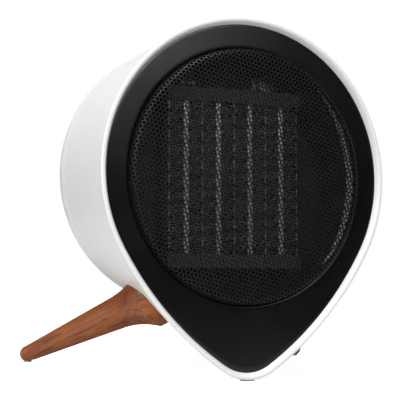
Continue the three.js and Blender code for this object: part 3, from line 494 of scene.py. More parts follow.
metals = {
    "grilleSteel": {"colour": (0.0040, 0.0040, 0.0043), "tint": (0.0065, 0.0065, 0.0068), "metallic": 0.08,
                    "rough": (0.40, 0.52), "stretch": (1, 1, 1), "lines": 1500.0, "bump": 0.00002},
    "barAluminium": {"colour": (0.62, 0.63, 0.64), "tint": (0.45, 0.46, 0.47), "metallic": 1.0,
                     "rough": (0.38, 0.56), "stretch": (1, 1, 0.05), "lines": 1300.0, "bump": 0.00002},
    "finAluminium": {"colour": (0.50, 0.51, 0.52), "tint": (0.34, 0.345, 0.35), "metallic": 1.0,
                     "rough": (0.40, 0.60), "stretch": (1, 0.05, 1), "lines": 900.0, "bump": 0.00002},
    "steel": {"colour": (0.42, 0.425, 0.43), "tint": (0.31, 0.31, 0.315), "metallic": 1.0, "rough": (0.30, 0.46),
              "stretch": (1, 0.08, 1), "lines": 1100.0, "bump": 0.00002},
    "bronze": {"colour": (0.42, 0.25, 0.10), "tint": (0.30, 0.17, 0.07), "metallic": 1.0, "rough": (0.40, 0.58),
               "stretch": (1, 1, 1), "lines": 1600.0, "bump": 0.00002},
    "copper": {"colour": (0.50, 0.20, 0.10), "tint": (0.34, 0.13, 0.07), "metallic": 0.9, "rough": (0.34, 0.50),
               "stretch": (1, 0.1, 1), "lines": 1400.0, "bump": 0.00003},
}


def makeMetal(name):
    look = metals[name]
    material, tree, shader = startMaterial(name, look["colour"])
    lines = useGroup(tree, drawnLines, {"Stretch": look["stretch"], "Line Size": look["lines"]})
    wear = useGroup(tree, edgeWear, {"Breadth": 0.0004})
    stain = remap(tree, lines.outputs["Stain"], 0.35, 0.65, 0.0, 1.0)
    tone = mixColour(tree, stain, look["colour"], look["tint"])
    brighter = tuple(min(part * 1.5, 0.9) for part in look["colour"])
    tone = mixColour(tree, calculate(tree, "MULTIPLY", wear.outputs["Wear"], 0.4), tone, brighter)
    tree.links.new(tone, shader.inputs["Base Color"])
    rough = calculate(tree, "MULTIPLY", calculate(tree, "ADD", lines.outputs["Line"], stain), 0.5)
    tree.links.new(remap(tree, rough, 0.2, 0.8, *look["rough"]), shader.inputs["Roughness"])
    shader.inputs["Metallic"].default_value = look["metallic"]
    addBump(tree, shader, lines.outputs["Line"], look["bump"])
    return material, tree, shader


wood = {
    "light": (0.430, 0.130, 0.026), "middle": (0.300, 0.074, 0.012), "dark": (0.105, 0.021, 0.004),
    "vein": (0.060, 0.013, 0.003), "rough": (0.42, 0.55), "ring": 150.0, "bump": 0.00006,
}


# oiled brown wood whose grain runs along the leg, from its foot towards the body
def makeWood(name, footPlace, direction):
    material, tree, shader = startMaterial(name, wood["middle"])
    place = addNode(tree, "ShaderNodeTexCoord").outputs["Object"]
    along = addNode(tree, "ShaderNodeMapping", vector_type="TEXTURE")
    along.inputs["Location"].default_value = footPlace
    along.inputs["Rotation"].default_value = direction.to_track_quat("X", "Z").to_euler()
    tree.links.new(place, along.inputs["Vector"])
    grain = useGroup(tree, woodGrain, {"Ring Size": wood["ring"]})
    tree.links.new(along.outputs[0], grain.inputs["Vector"])
    tone = mixColour(tree, grain.outputs["Ring"], wood["light"], wood["middle"])
    patch = remap(tree, grain.outputs["Patch"], 0.40, 0.65, 0.0, 0.6)
    tone = mixColour(tree, patch, tone, wood["dark"])
    tone = mixColour(tree, calculate(tree, "MULTIPLY", grain.outputs["Vein"], 0.75), tone, wood["vein"])
    tone = mixColour(tree, calculate(tree, "MULTIPLY", grain.outputs["Pore"], 0.35), tone, wood["vein"])
    wear = useGroup(tree, edgeWear, {"Breadth": 0.001})
    tone = mixColour(tree, calculate(tree, "MULTIPLY", wear.outputs["Wear"], 0.35), tone, wood["light"])
    tree.links.new(tone, shader.inputs["Base Color"])
    tree.links.new(remap(tree, grain.outputs["Pore"], 0.0, 1.0, *wood["rough"]), shader.inputs["Roughness"])
    height = calculate(tree, "SUBTRACT", grain.outputs["Ring"], grain.outputs["Pore"])
    height = calculate(tree, "SUBTRACT", height, grain.outputs["Vein"])
    addBump(tree, shader, height, wood["bump"], 0.5)
    shader.inputs["Coat Weight"].default_value = 0.05
    shader.inputs["Coat Roughness"].default_value = 0.30
    return material


def makeLensFinish():
    material, tree, shader = makePlastic("footRubber")
    material.name = "lensAmber"
    tree.links.remove(shader.inputs["Base Color"].links[0])
    cloud = noise(tree, addNode(tree, "ShaderNodeTexCoord").outputs["Object"], 700.0, 3.0)
    tree.links.new(mixColour(tree, cloud, (0.62, 0.12, 0.012), (0.40, 0.06, 0.006)), shader.inputs["Base Color"])
    tree.links.new(remap(tree, cloud, 0.3, 0.7, 0.08, 0.16), shader.inputs["Roughness"])
    shader.inputs["Coat Weight"].default_value = 0.5
    return material


shellWhite = makePlastic("shellWhite")[0]
fasciaBlack, _, fasciaShader = makePlastic("fasciaBlack")
fasciaShader.inputs["Specular IOR Level"].default_value = 0.40
innerBlack = makePlastic("innerBlack")[0]
mouldedResin = makePlastic("mouldedResin")[0]
knobBlack = makePlastic("knobBlack")[0]
markGrey = makePlastic("markGrey")[0]
footRubber = makePlastic("footRubber")[0]
grilleSteel, _, grilleShader = makeMetal("grilleSteel")
grilleShader.inputs["Specular IOR Level"].default_value = 0.24
barAluminium = makeMetal("barAluminium")[0]
finAluminium = makeMetal("finAluminium")[0]
steel = makeMetal("steel")[0]
bronze = makeMetal("bronze")[0]
copper = makeMetal("copper")[0]
lensAmber = makeLensFinish()
print("finishes made")


# The white shell, its rim turned over into the recess for the fascia

def makeShell():
    def lip(depth, inset):
        return lambda share: facePoint(ringAngle(share), depth, inset)

    def side(depth, inset=0.0):
        return lambda share: bodyPoint(ringAngle(share), depth, inset)

    rounding, soft = form["edgeRound"], form["lipSoft"]
    outerArc = [(rounding * (1 - math.cos(a)), rounding * (1 - math.sin(a)))
                for a in (math.radians(step) for step in (15, 35, 55, 75, 90))]
    sections = [
        lip(form["ledgeDepth"] + form["ledgeThickness"], form["faceInset"] + form["ledgeWidth"]),
        lip(form["ledgeDepth"], form["faceInset"] + form["ledgeWidth"]),
        lip(form["ledgeDepth"], form["faceInset"]),
        lip(form["faceDepth"], form["faceInset"]),
        lip(mix(form["faceDepth"], soft, 0.5), mix(form["faceInset"], form["lipWidth"], 0.5)),
        lip(soft, form["lipWidth"] + 0.3 * soft),
        lip(soft * 0.3, form["lipWidth"] - 0.3 * soft),
        lip(0, form["lipWidth"] - soft * 1.1),
        lip(0, rounding),
        *[lip(depth, inset) for depth, inset in outerArc],
    ]
    rows = 44
    sections += [side(mix(rounding, sideDepth, (k / rows) ** 1.15)) for k in range(1, rows + 1)]
    last = math.radians(form["edgeSplit"])
    edgeRows = 14
    sections += [side(sideDepth + form["edgeDepth"] * math.sin(last * k / edgeRows)) for k in range(1, edgeRows)]
    sections += [side(splitDepth - 0.00025), side(splitDepth, 0.00025)]
    wall = form["wall"]
    sections += [side(splitDepth, wall)]
    sections += [side(depth, wall) for depth in (0.145, 0.130, sideDepth, 0.09, 0.06, 0.045, 0.03, 0.02)]
    return loft(sections, form["around"], closed=True)


makePiece("body_shell_skin", makeShell(), shellWhite, standsFor=["body_shell"], sharp=50)
print("shell made")


# The black fascia, from the teardrop in to the round opening

bezel = {"outerGap": 0.0003, "thickness": 0.0028, "softOuter": 0.0004, "softInner": 0.0018, "rows": 10}


def makeBezel():
    face, opening = form["faceDepth"], form["openingRadius"]
    outer = form["faceInset"] + bezel["outerGap"]

    def ring(depth, inset, blend, radius):
        def section(share):
            angle = ringAngle(share)
            reach = mix(teardrop(angle, inset), radius, blend)
            return Vector((reach * math.sin(angle), depth, reach * math.cos(angle)))
        return section

    soft, rows = bezel["softInner"], bezel["rows"]
    sections = [ring(face + bezel["thickness"], outer, 0, opening)]
    edge = bezel["softOuter"]
    sections += [ring(face + edge * (1 - math.sin(a)), outer + edge * (1 - math.cos(a)), 0, opening)
                 for a in (math.radians(step) for step in (0, 30, 60, 90))]
    for k in range(1, rows + 1):
        sections.append(ring(face, outer + bezel["softOuter"], k / rows, opening + soft))
    sections += [ring(face + soft * (1 - math.cos(a)), 0, 1, opening + soft * (1 - math.sin(a)))
                 for a in (math.radians(step) for step in (12, 24, 36, 48, 60, 75, 90))]
    sections.append(ring(face + bezel["thickness"], 0, 1, opening))
    return loft(sections, form["around"], closed=True)


makePiece("front_bezel_face", makeBezel(), fasciaBlack, standsFor=["front_bezel"], sharp=40)
print("fascia made")


# The grille: one six-sided cell repeated, turned, trimmed and bent over the dome's edge

grille = {"pitch": 0.0035, "web": 0.00095, "turn": 45, "rise": 0.007, "fillet": 0.006, "sheet": 0.0008,
          "wallGap": 0.0003, "flange": 0.0054}
grilleWall = form["openingRadius"] - grille["wallGap"]
grilleCrown = form["faceDepth"] - grille["rise"]


# bends a flat point, x and height from the grille's centre, over the dome
def overDome(point):
    reach = point.length
    flat = grilleWall - grille["fillet"]
    arc = math.pi / 2 * grille["fillet"]
    if reach <= flat:
        radius, depth = reach, grilleCrown
    elif reach <= flat + arc:
        bend = (reach - flat) / grille["fillet"]
        radius = flat + grille["fillet"] * math.sin(bend)
        depth = grilleCrown + grille["fillet"] * (1 - math.cos(bend))
    else:
        radius, depth = grilleWall, grilleCrown + grille["fillet"] + reach - flat - arc
    scale = radius / reach if reach > 0 else 1
    return Vector((point.x * scale, depth, point.z * scale))


# copies everything in the mesh again and again, each time as far again along the way
def doubled(mesh, way, times):
    for k in range(times):
        grown = bmesh.ops.duplicate(mesh, geom=mesh.verts[:] + mesh.edges[:] + mesh.faces[:])["geom"]
        verts = [part for part in grown if isinstance(part, bmesh.types.BMVert)]
        bmesh.ops.translate(mesh, verts=verts, vec=Vector(way) * 2 ** k)


def makeGrille():
    pitch, fillet = grille["pitch"], grille["fillet"]
    rowHeight = pitch * math.sqrt(3) / 2
    end = grilleWall - fillet + math.pi / 2 * fillet + form["ledgeDepth"] - grilleCrown - fillet
    mesh = bmesh.new()
    bmesh.ops.create_circle(mesh, cap_ends=True, segments=6, radius=pitch / math.sqrt(3))
    middle = mesh.faces[:]
    bmesh.ops.inset_region(mesh, faces=middle, thickness=grille["web"] / 2, use_even_offset=True,
                           use_boundary=True)
    bmesh.ops.delete(mesh, geom=middle, context="FACES_ONLY")
    doubled(mesh, (pitch / 2, rowHeight, 0), 1)
    doubled(mesh, (pitch, 0, 0), 6)
    doubled(mesh, (0, 2 * rowHeight, 0), 6)
    corner = Vector((32 * pitch, 64 * rowHeight, 0))  # the middle of the sheet that this makes
    bmesh.ops.translate(mesh, verts=mesh.verts[:], vec=-corner)
    outside = [face for face in mesh.faces if face.calc_center_median().length > end]
    bmesh.ops.delete(mesh, geom=outside, context="FACES")
    bmesh.ops.remove_doubles(mesh, verts=mesh.verts[:], dist=0.00005)
    bmesh.ops.rotate(mesh, verts=mesh.verts[:], cent=(0, 0, 0),
                     matrix=Matrix.Rotation(math.radians(grille["turn"]), 3, "Z"))
    for vert in mesh.verts:
        vert.co = overDome(Vector((vert.co.x, 0, vert.co.y)))
    mesh.normal_update()
    bmesh.ops.solidify(mesh, geom=mesh.faces[:], thickness=grille["sheet"])
    outer, ledge = form["openingRadius"] + grille["flange"], form["ledgeDepth"]
    flange = turned([(grilleWall - grille["sheet"], ledge), (outer, ledge), (outer, ledge + grille["sheet"]),
                     (grilleWall - grille["sheet"], ledge + grille["sheet"])], 96)
    return gather(mesh, flange)


makePiece("front_grille_mesh", makeGrille(), grilleSteel, standsFor=["front_grille"],
          recalc=False)
print("grille made")


# The heating core: bright bars between packs of finely folded fins

core = {"barSoft": 0.0005, "lip": 0.0009, "sink": 0.00035, "foldPitch": 0.0024, "fin": 0.00022, "crest": 0.0007,
        "inset": 0.0004}


# lowest and highest corner of a node in the housing's own directions
def span(node):
    points = [toHousing @ vert.co for vert in nodes[node].data.vertices]
    low = Vector([min(point[k] for point in points) for k in range(3)])
    high = Vector([max(point[k] for point in points) for k in range(3)])
    return low, high


def makeBar(node, finNode):
    low, high = span(node)
    low.z = span(finNode)[0].z
    mesh = softBlock(high - low, (low + high) / 2, core["barSoft"])
    front = [face for face in mesh.faces if face.normal.y < -0.99 and face.calc_area() > 0.0001]
    for width in (core["lip"], core["sink"]):
        bmesh.ops.inset_region(mesh, faces=front, thickness=width, use_even_offset=True)
    bmesh.ops.translate(mesh, verts=list({vert for face in front for vert in face.verts}),
                        vec=(0, core["sink"], 0))
    return mesh


def makeFins(node):
    low, high = span(node)
    reach, pitch, crest = (high.x - low.x) / 2, core["foldPitch"], core["crest"]
    zigzag = [(-reach, 0), (crest - reach, 0.07), (reach - crest, 0.43), (reach, 0.5), (reach - crest, 0.57),
              (crest - reach, 0.93), (-reach, 1)]
    mesh = bmesh.new()
    verts = [mesh.verts.new((x, low.y + core["inset"], share * pitch)) for x, share in zigzag]
    edges = [mesh.edges.new(pair) for pair in zip(verts, verts[1:])]
    grown = bmesh.ops.extrude_edge_only(mesh, edges=edges)["geom"]
    far = [part for part in grown if isinstance(part, bmesh.types.BMVert)]
    bmesh.ops.translate(mesh, verts=far, vec=(0, high.y - low.y - core["inset"], 0))
    doubled(mesh, (0, 0, pitch), 6)
    folds = math.floor((high.z - low.z) / pitch)
    extra = [face for face in mesh.faces if face.calc_center_median().z > folds * pitch]
    bmesh.ops.delete(mesh, geom=extra, context="FACES")
    bmesh.ops.remove_doubles(mesh, verts=mesh.verts[:], dist=0.00001)
    bmesh.ops.recalc_face_normals(mesh, faces=mesh.faces[:])
    bmesh.ops.solidify(mesh, geom=mesh.faces[:], thickness=core["fin"])
    start = (low.z + high.z - folds * pitch) / 2
    bmesh.ops.translate(mesh, verts=mesh.verts[:], vec=((low.x + high.x) / 2, 0, start))
    return mesh


for number in (1, 2, 3, 4):
    makePiece(f"ptc_bar_{number}_case", makeBar(f"ptc_bar_{number}", "fin_pack_1"), barAluminium,
              standsFor=[f"ptc_bar_{number}"])
for number in range(1, 9):
    makePiece(f"fin_pack_{number}_folds", makeFins(f"fin_pack_{number}"), finAluminium,
              standsFor=[f"fin_pack_{number}"], recalc=False)
print("heating core made")


# The legs, turned, flared at the root, and cut to the shell's surface line by line

legs = {"footX": 0.129, "footY": 0.145, "footRadius": 0.0066, "aimX": 0.058, "aimY": 0.067, "aimHeight": 0.057,
        "growth": 0.0763, "flareStart": 0.092, "flareLength": 0.0244, "flare": 0.0053, "flareEnd": 0.124,
        "end": 0.157, "around": 56, "rows": 40, "sole": 0.0015, "sunk": 0.0006}


def legRadius(length):
    if length < 0:
        return legs["footRadius"] * math.sqrt(max(1 - (length / legs["footRadius"]) ** 2, 0))
    reach = min(length, legs["flareEnd"])
    flared = legs["flare"] * (max(reach - legs["flareStart"], 0) / legs["flareLength"]) ** 2
    back = max(length - legs["flareEnd"], 0) / (legs["end"] - legs["flareEnd"])
    return legs["footRadius"] + legs["growth"] * reach + flared * (1 - min(back, 1))


def isInShell(point):
    local = toHousing @ point
    lift = form["lift"] * min(local.y / form["liftDepth"], 1) \
        + form["topCentre"] * smoothShare(local.y, form["blendDepth"])
    angle = math.atan2(local.x, local.z - lift)
    surface = bodyPoint(angle, local.y, legs["sunk"])
    return math.hypot(local.x, local.z - lift) < math.hypot(surface.x, surface.z - lift)


def makeLeg(side):
    foot = Vector((side * legs["footX"], faceCentre.y + legs["footY"], legs["footRadius"]))
    aim = Vector((side * legs["aimX"], faceCentre.y + legs["aimY"], legs["aimHeight"]))
    direction = (aim - foot).normalized()
    across = direction.orthogonal().normalized()
    upright = direction.cross(across)

    def onLeg(length, share):
        angle = 2 * math.pi * share
        out = across * math.cos(angle) + upright * math.sin(angle)
        return foot + direction * length + out * legRadius(length)

    # how far up the leg a line along its surface meets the shell
    def meets(share):
        low = legs["flareStart"] * 0.5
        while low < legs["end"] - 0.001 and not isInShell(onLeg(low + 0.001, share)):
            low += 0.001
        high = low + 0.001
        while high - low > 0.00002:
            middle = (low + high) / 2
            if isInShell(onLeg(middle, share)):
                high = middle
            else:
                low = middle
        return low

    ends = {}

    def section(step):
        def point(share):
            key = round(share * legs["around"]) % legs["around"]
            if key not in ends:
                ends[key] = meets(key / legs["around"])
            start = -legs["footRadius"] * 0.999
            spot = onLeg(mix(start, ends[key], step), share)
            spot.z = max(spot.z, legs["sole"])
            return spot
        return point

    toe = [0.0, 0.0012, 0.004, 0.009, 0.016, 0.025, 0.036, 0.050]
    steps = toe + [mix(toe[-1], 1, (k + 1) / legs["rows"]) for k in range(legs["rows"])]
    mesh = loft([section(step) for step in steps], legs["around"], capped=True)
    return mesh, foot, direction


for name, side in (("left", -1), ("right", 1)):
    mesh, foot, direction = makeLeg(side)
    makePiece(f"rear_leg_{name}_turned", mesh, makeWood(f"walnut{name.title()}", foot, direction),
              standsFor=[f"rear_leg_{name}"], place=Matrix.Identity(4), sharp=45)
    low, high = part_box(f"leg_pad_{name}")
    middle, radius, thick = (low + high) / 2, (high.x - low.x) / 2, high.z - low.z
    pad = turned([(0, -thick / 2), (radius * 0.88, -thick / 2), (radius, -thick * 0.25), (radius, thick * 0.5),
                  (0, thick * 0.5)], 32)
    bmesh.ops.rotate(pad, verts=pad.verts[:], cent=(0, 0, 0), matrix=Matrix.Rotation(math.pi / 2, 3, "X"))
    makePiece(f"leg_pad_{name}_disc", pad, footRubber, standsFor=[f"leg_pad_{name}"],
              place=Matrix.Translation(middle))
print("legs made")


# The rear cover with its air slots, screw wells and dials

cover = {"wall": 0.003, "spigotLength": 0.005, "spigotWall": 0.002, "spigotGap": 0.0005, "edge": 0.00025,
         "slotMargin": 0.011, "slotWidth": 0.0034, "slotPitch": 0.0074, "rib": 0.005, "aboveKnobs": 0.009,
         "flare": 0.0006, "well": 0.0039, "mouth": 0.0008, "cup": 0.0061, "seat": 0.0025, "cutDepth": 0.012,
         "cutAbove": 0.006, "spindleHole": 0.0033, "lensHole": 0.0028, "glandHole": 0.0053}
coverAbove = form["lift"] + form["topCentre"]
knobLow, knobHigh = span("thermostat_knob")
knobRadius = (knobHigh.x - knobLow.x) / 2
knobX = (knobLow.x + knobHigh.x) / 2
knobZ = (knobLow.z + knobHigh.z) / 2


def edgePoint(degrees, inset=0.0):
    angle = math.radians(degrees)
    return (backRadius + (form["edgeRadius"] - inset) * math.cos(angle),
            sideDepth + (form["edgeDepth"] - inset) * math.sin(angle))


def makeCoverShell():
    wall = cover["wall"]
    start = math.degrees(math.asin((splitDepth + form["gap"] - sideDepth) / form["edgeDepth"]))
    outside = [edgePoint(mix(start, 90, k / 18)) for k in range(19)]
    outside[0] = (outside[0][0] - cover["edge"], outside[0][1])
    inside = [edgePoint(mix(58, 90, k / 8), wall) for k in range(9)]
    spigot = roundRadius(splitDepth, form["wall"]) - cover["spigotGap"]
    narrow = spigot - cover["spigotWall"]
    profile = [(0, form["depth"]), *reversed(outside), (spigot, outside[0][1]),
               (spigot, splitDepth - cover["spigotLength"]), (narrow, splitDepth - cover["spigotLength"]),
               (narrow, splitDepth + wall), *inside, (0, form["depth"] - wall)]
    return turned(profile, 128, (0, 0, coverAbove))


# the cup under a screw well, its mouth just inside the cover's curved surface
def makeCup(x, z, seat):
    def ring(radius, depth=None):
        def section(share):
            angle = 2 * math.pi * share
            spot = Vector((x + radius * math.sin(angle), 0, z + radius * math.cos(angle)))
            out = max(math.hypot(spot.x, spot.z - coverAbove) - backRadius, 0) / form["edgeRadius"]
            surface = sideDepth + form["edgeDepth"] * math.sqrt(max(1 - out ** 2, 0))
            spot.y = surface - cover["mouth"] if depth is None else depth
            return spot
        return section

    floor = seat - cover["seat"]
    return loft([ring(cover["cup"], floor), ring(cover["cup"]), ring(cover["well"]), ring(cover["well"], seat),
                 ring(screwLook["shank"], seat), ring(screwLook["shank"], floor)], 32, closed=True)


# a slot or well cutter from below the wall to above it, flared where it meets the surface
def flaredCutter(width, height, place, surface, flare, corner, segments):
    mesh = bmesh.new()
    bmesh.ops.create_grid(mesh, x_segments=1, y_segments=1, size=0.5)
    bmesh.ops.scale(mesh, verts=mesh.verts[:], vec=(width, height, 1))
    bmesh.ops.bevel(mesh, geom=mesh.verts[:], offset=corner, segments=segments, profile=0.5, affect="VERTICES",
                    material=-1)
    level, grow, isFirst = -cover["cutDepth"], 0, True
    faces = mesh.faces[:]
    bmesh.ops.translate(mesh, verts=mesh.verts[:], vec=(0, 0, level))
    for nextLevel, nextGrow in ((-flare, 0), (0, flare), (cover["cutAbove"], flare)):
        grown = bmesh.ops.extrude_face_region(mesh, geom=faces)["geom"]
        if not isFirst:
            bmesh.ops.delete(mesh, geom=faces, context="FACES_ONLY")
        isFirst = False
        faces = [part for part in grown if isinstance(part, bmesh.types.BMFace)]
        verts = list({vert for face in faces for vert in face.verts})
        bmesh.ops.translate(mesh, verts=verts, vec=(0, 0, nextLevel - level))
        more = nextGrow - grow
        bmesh.ops.scale(mesh, verts=verts, vec=((width + 2 * nextGrow) / (width + 2 * grow),
                                                (height + 2 * nextGrow) / (height + 2 * grow), 1))
        level, grow = nextLevel, nextGrow
    bmesh.ops.rotate(mesh, verts=mesh.verts[:], cent=(0, 0, 0), matrix=Matrix.Rotation(-math.pi / 2, 3, "X"))
    bmesh.ops.translate(mesh, verts=mesh.verts[:], vec=(place[0], surface, place[1]))
    bmesh.ops.recalc_face_normals(mesh, faces=mesh.faces[:])
    return mesh


def rod(radius, front, end, x, z, steps=40):
    return turned([(0, front), (radius, front), (radius, end), (0, end)], steps, (x, 0, z))


def makeCover():
    screws = [span(f"cover_screw_{k}") for k in (1, 2, 3, 4)]
    places = [((low.x + high.x) / 2, (low.z + high.z) / 2, high.y) for low, high in screws]
    cutters = bmesh.new()
    reach = backRadius - cover["slotMargin"]
    lowest = knobZ - coverAbove + knobRadius + cover["aboveKnobs"]
    for row in range(math.floor((reach - lowest) / cover["slotPitch"])):
        level = lowest + (row + 0.5) * cover["slotPitch"]
        half = math.sqrt(reach ** 2 - level ** 2)
        length = half - cover["rib"] / 2
        for side in (-1, 1):
            middle = side * (half + cover["rib"] / 2) / 2
            gather(cutters, flaredCutter(length, cover["slotWidth"], (middle, level + coverAbove), form["depth"],
                                         cover["flare"], cover["slotWidth"] * 0.499, 6))
    for x, z, top in places:
        gather(cutters, rod(cover["well"], top - 0.020, form["depth"] + 0.01, x, z))
    holes = ((-knobX, knobZ, cover["spindleHole"]), (knobX, knobZ, cover["spindleHole"]),
             (0, lensPlace.z, cover["lensHole"]), (0, glandPlace.z, cover["glandHole"]))
    for x, z, radius in holes:
        gather(cutters, rod(radius, form["depth"] - 0.010, form["depth"] + 0.005, x, z, 32))
    shell = carve(makeCoverShell(), cutters)
    for x, z, top in places:
        gather(shell, makeCup(x, z, top - screwLook["head"] - form["gap"]))
    return shell


screwLook = {"head": 0.0024, "cross": (0.0010, 0.0044), "crossDepth": 0.0013, "crossSoft": 0.00015,
             "shank": 0.0018}
lensLow, lensHigh = span("indicator_lens")
glandLow, glandHigh = span("cord_gland")
lensPlace, glandPlace = (lensLow + lensHigh) / 2, (glandLow + glandHigh) / 2
makePiece("rear_cover_vented", makeCover(), shellWhite, standsFor=["rear_cover"], sharp=35)
print("rear cover made")

dial = {"skirtSoft": 0.0008, "flutes": 30, "fluteDepth": 0.00045, "gripSoft": 0.0011, "gripWidth": 0.006,
        "pointer": (0.0010, 0.0004, 0.0075), "tick": (0.0006, 0.0003, 0.0020), "tickAway": 0.0022,
        "longTick": 1.5, "pointerInset": 0.0018, "pointerSunk": 0.0002, "pointerSoft": 0.00012}


# a fluted cap with a bar across it and a pale pointer line
def makeKnob(name, body):
    low, high = span(f"{name}_knob")
    middle, radius, height = (low + high) / 2, (high.x - low.x) / 2, high.y - low.y
    bottom, top = low.y, high.y
    skirt = bottom + height * 0.55
    soft, count = dial["skirtSoft"], dial["flutes"] * 6

    def ring(depth, inset, fluted):
        def section(share):
            wave = fluted * dial["fluteDepth"] * (0.5 + 0.5 * math.cos(2 * math.pi * dial["flutes"] * share))
            reach = radius - inset - wave
            angle = 2 * math.pi * share
            return Vector((reach * math.sin(angle) + middle.x, depth, reach * math.cos(angle) + middle.z))
        return section

    sections = [ring(bottom, radius - 0.0034, 0), ring(bottom, 0.0006, 0), ring(bottom + 0.0003, 0.0001, 0),
                ring(bottom + 0.0010, 0, 0), ring(bottom + 0.0014, 0.0003, 1), ring(skirt - 2 * soft, 0.0009, 1),
                ring(skirt - soft, 0.0012, 0.7), ring(skirt - soft * 0.4, 0.0016, 0.3), ring(skirt, 0.0026, 0),
                ring(skirt, 0.006, 0), ring(skirt, radius - 0.0034, 0)]
    mesh = loft(sections, count, closed=True)
    gripLength = 2 * (radius - 0.0031)
    grip = softBlock((dial["gripWidth"], top - bottom - 0.003, gripLength),
                     (middle.x, (top + bottom + 0.003) / 2, middle.z), dial["gripSoft"], 3)
    narrow = [vert for vert in grip.verts if vert.co.y > top - 0.002]
    bmesh.ops.scale(grip, verts=narrow, vec=(0.8, 1, 0.97),
                    space=Matrix.Translation((-middle.x, 0, -middle.z)))
    gather(mesh, grip)
    makePiece(f"{name}_knob_cap", mesh, knobBlack, body=body, standsFor=[f"{name}_knob"])
    length = dial["pointer"][2]
    pointerHeight = middle.z + gripLength / 2 - length / 2 - dial["pointerInset"]
    pointer = softBlock(dial["pointer"], (middle.x, top - dial["pointerSunk"], pointerHeight), dial["pointerSoft"])
    makePiece(f"{name}_knob_pointer", pointer, markGrey, body=body)
    return middle, radius


def makeTicks(middle, radius, angles, growing):
    mesh = bmesh.new()
    width, proud, length = dial["tick"]
    for k, degrees in enumerate(angles):
        size = mix(1, dial["longTick"], k / (len(angles) - 1)) if growing else dial["longTick"]
        tick = softBlock((width * size, proud, length * size),
                         (0, form["depth"] + proud * 0.2, radius + dial["tickAway"] + length * size / 2), 0.0001)
        # seen from behind, the dial turns clockwise
        bmesh.ops.rotate(tick, verts=tick.verts[:], cent=(0, 0, 0),
                         matrix=Matrix.Rotation(-math.radians(degrees), 3, "Y"))
        bmesh.ops.translate(tick, verts=tick.verts[:], vec=(middle.x, 0, middle.z))
        gather(mesh, tick)
    return mesh


for name, body, angles, growing in (("mode", "mode_dial", (0, 45, 90, 135), False),
                                    ("thermostat", "thermostat_dial", tuple(range(0, 271, 30)), True)):
    middle, radius = makeKnob(name, body)
    makePiece(f"{name}_marks", makeTicks(middle, radius, angles, growing), markGrey)

lensRadius, lensTop = (lensHigh.x - lensLow.x) / 2, lensHigh.y
lensSeat = form["depth"] + form["gap"]
dome = [(lensRadius * math.cos(a), lensSeat + (lensTop - lensSeat) * math.sin(a))
        for a in (math.radians(step) for step in range(0, 91, 10))]
lensProfile = [(0, lensLow.y), (lensRadius - 0.001, lensLow.y), (lensRadius - 0.001, lensSeat), *dome[:-1],
               (0, lensTop)]
makePiece("indicator_lens_dome", turned(lensProfile, 40, (0, 0, lensPlace.z)), lensAmber,
          standsFor=["indicator_lens"])

gland = {"bore": 0.0036, "stem": 0.005, "soft": 0.0005, "ribs": 2, "ribDepth": 0.0003}
glandRadius, glandTop, glandSeat = (glandHigh.x - glandLow.x) / 2, glandHigh.y, form["depth"] + form["gap"]


def makeGland():
    soft, bore, outer = gland["soft"], gland["bore"], glandRadius
    profile = [(bore, glandLow.y), (gland["stem"], glandLow.y), (gland["stem"], glandSeat),
               (outer - soft, glandSeat), (outer - 0.3 * soft, glandSeat + 0.3 * soft),
               (outer, glandSeat + soft), (outer - 0.0004, glandTop - soft),
               (outer - 0.0008, glandTop - 0.2 * soft), (outer - 0.0014, glandTop)]
    for k in range(gland["ribs"]):
        start = bore + 0.0016 - k * 0.0009
        profile += [(start, glandTop), (start - 0.0002, glandTop - gland["ribDepth"]),
                    (start - 0.0005, glandTop - gland["ribDepth"]), (start - 0.0007, glandTop)]
    profile += [(bore + 0.0002, glandTop), (bore, glandTop - 0.0003)]
    return turned(profile, 48, (0, 0, glandPlace.z))


makePiece("cord_gland_bush", makeGland(), knobBlack, standsFor=["cord_gland"])


def makeScrew(node):
    low, high = span(node)
    x, z, top = (low.x + high.x) / 2, (low.z + high.z) / 2, high.y
    radius, head = (high.x - low.x) / 2, screwLook["head"]
    arc = [(radius * math.cos(a), top - head * 0.5 + head * 0.5 * math.sin(a))
           for a in (math.radians(step) for step in range(0, 90, 12))]
    profile = [(0, top), *reversed(arc), (radius, top - head), (screwLook["shank"], top - head),
               (screwLook["shank"], low.y), (0, low.y)]
    mesh = turned(profile, 40, (x, 0, z))
    width, length = screwLook["cross"]
    for across, along in ((width, length), (length, width)):
        bar = softBlock((across, 2 * screwLook["crossDepth"], along), (x, top, z), screwLook["crossSoft"])
        mesh = carve(mesh, bar)
    return mesh


for number in (1, 2, 3, 4):
    makePiece(f"cover_screw_{number}_pan", makeScrew(f"cover_screw_{number}"), steel,
              standsFor=[f"cover_screw_{number}"])
print("rear fittings made")


# Nodes that keep their own shape get their finish here

kept = {
    "innerBlack": (innerBlack, ["grille_retainer", "baffle_plate", "fan_shroud", "fan_impeller"]),
    "mouldedResin": (mouldedResin, ["air_duct", "element_holder_top", "element_holder_bottom", "mode_switch",
                                    "thermostat_switch", "terminal_block", "tilt_switch_case"]),
    "finAluminium": (finAluminium, ["element_separator_1", "element_separator_2", "element_separator_3",
                                    "element_side_left", "element_side_right"]),
    "steel": (steel, ["thermal_cutout", "thermal_fuse", "motor_shaft", "motor_rotor", "motor_end_bracket",
                      "motor_can", "mode_spindle", "thermostat_spindle", "tilt_pendulum", "leg_screw_left",
                      "leg_screw_right"]),
    "copper": (copper, ["motor_stator"]),
    "bronze": (bronze, ["bush_front", "bush_rear"]),
    "footRubber": (footRubber, ["front_pad"]),
}
for material, names in kept.values():
    for name in names:
        nodes[name].data.materials.clear()
        nodes[name].data.materials.append(material)
shown = {node for node, item in nodes.items() if not item.hide_render}
assert shown == {name for _, names in kept.values() for name in names}, "a node has no finish"
print("kept nodes finished")


# Floor, light and camera

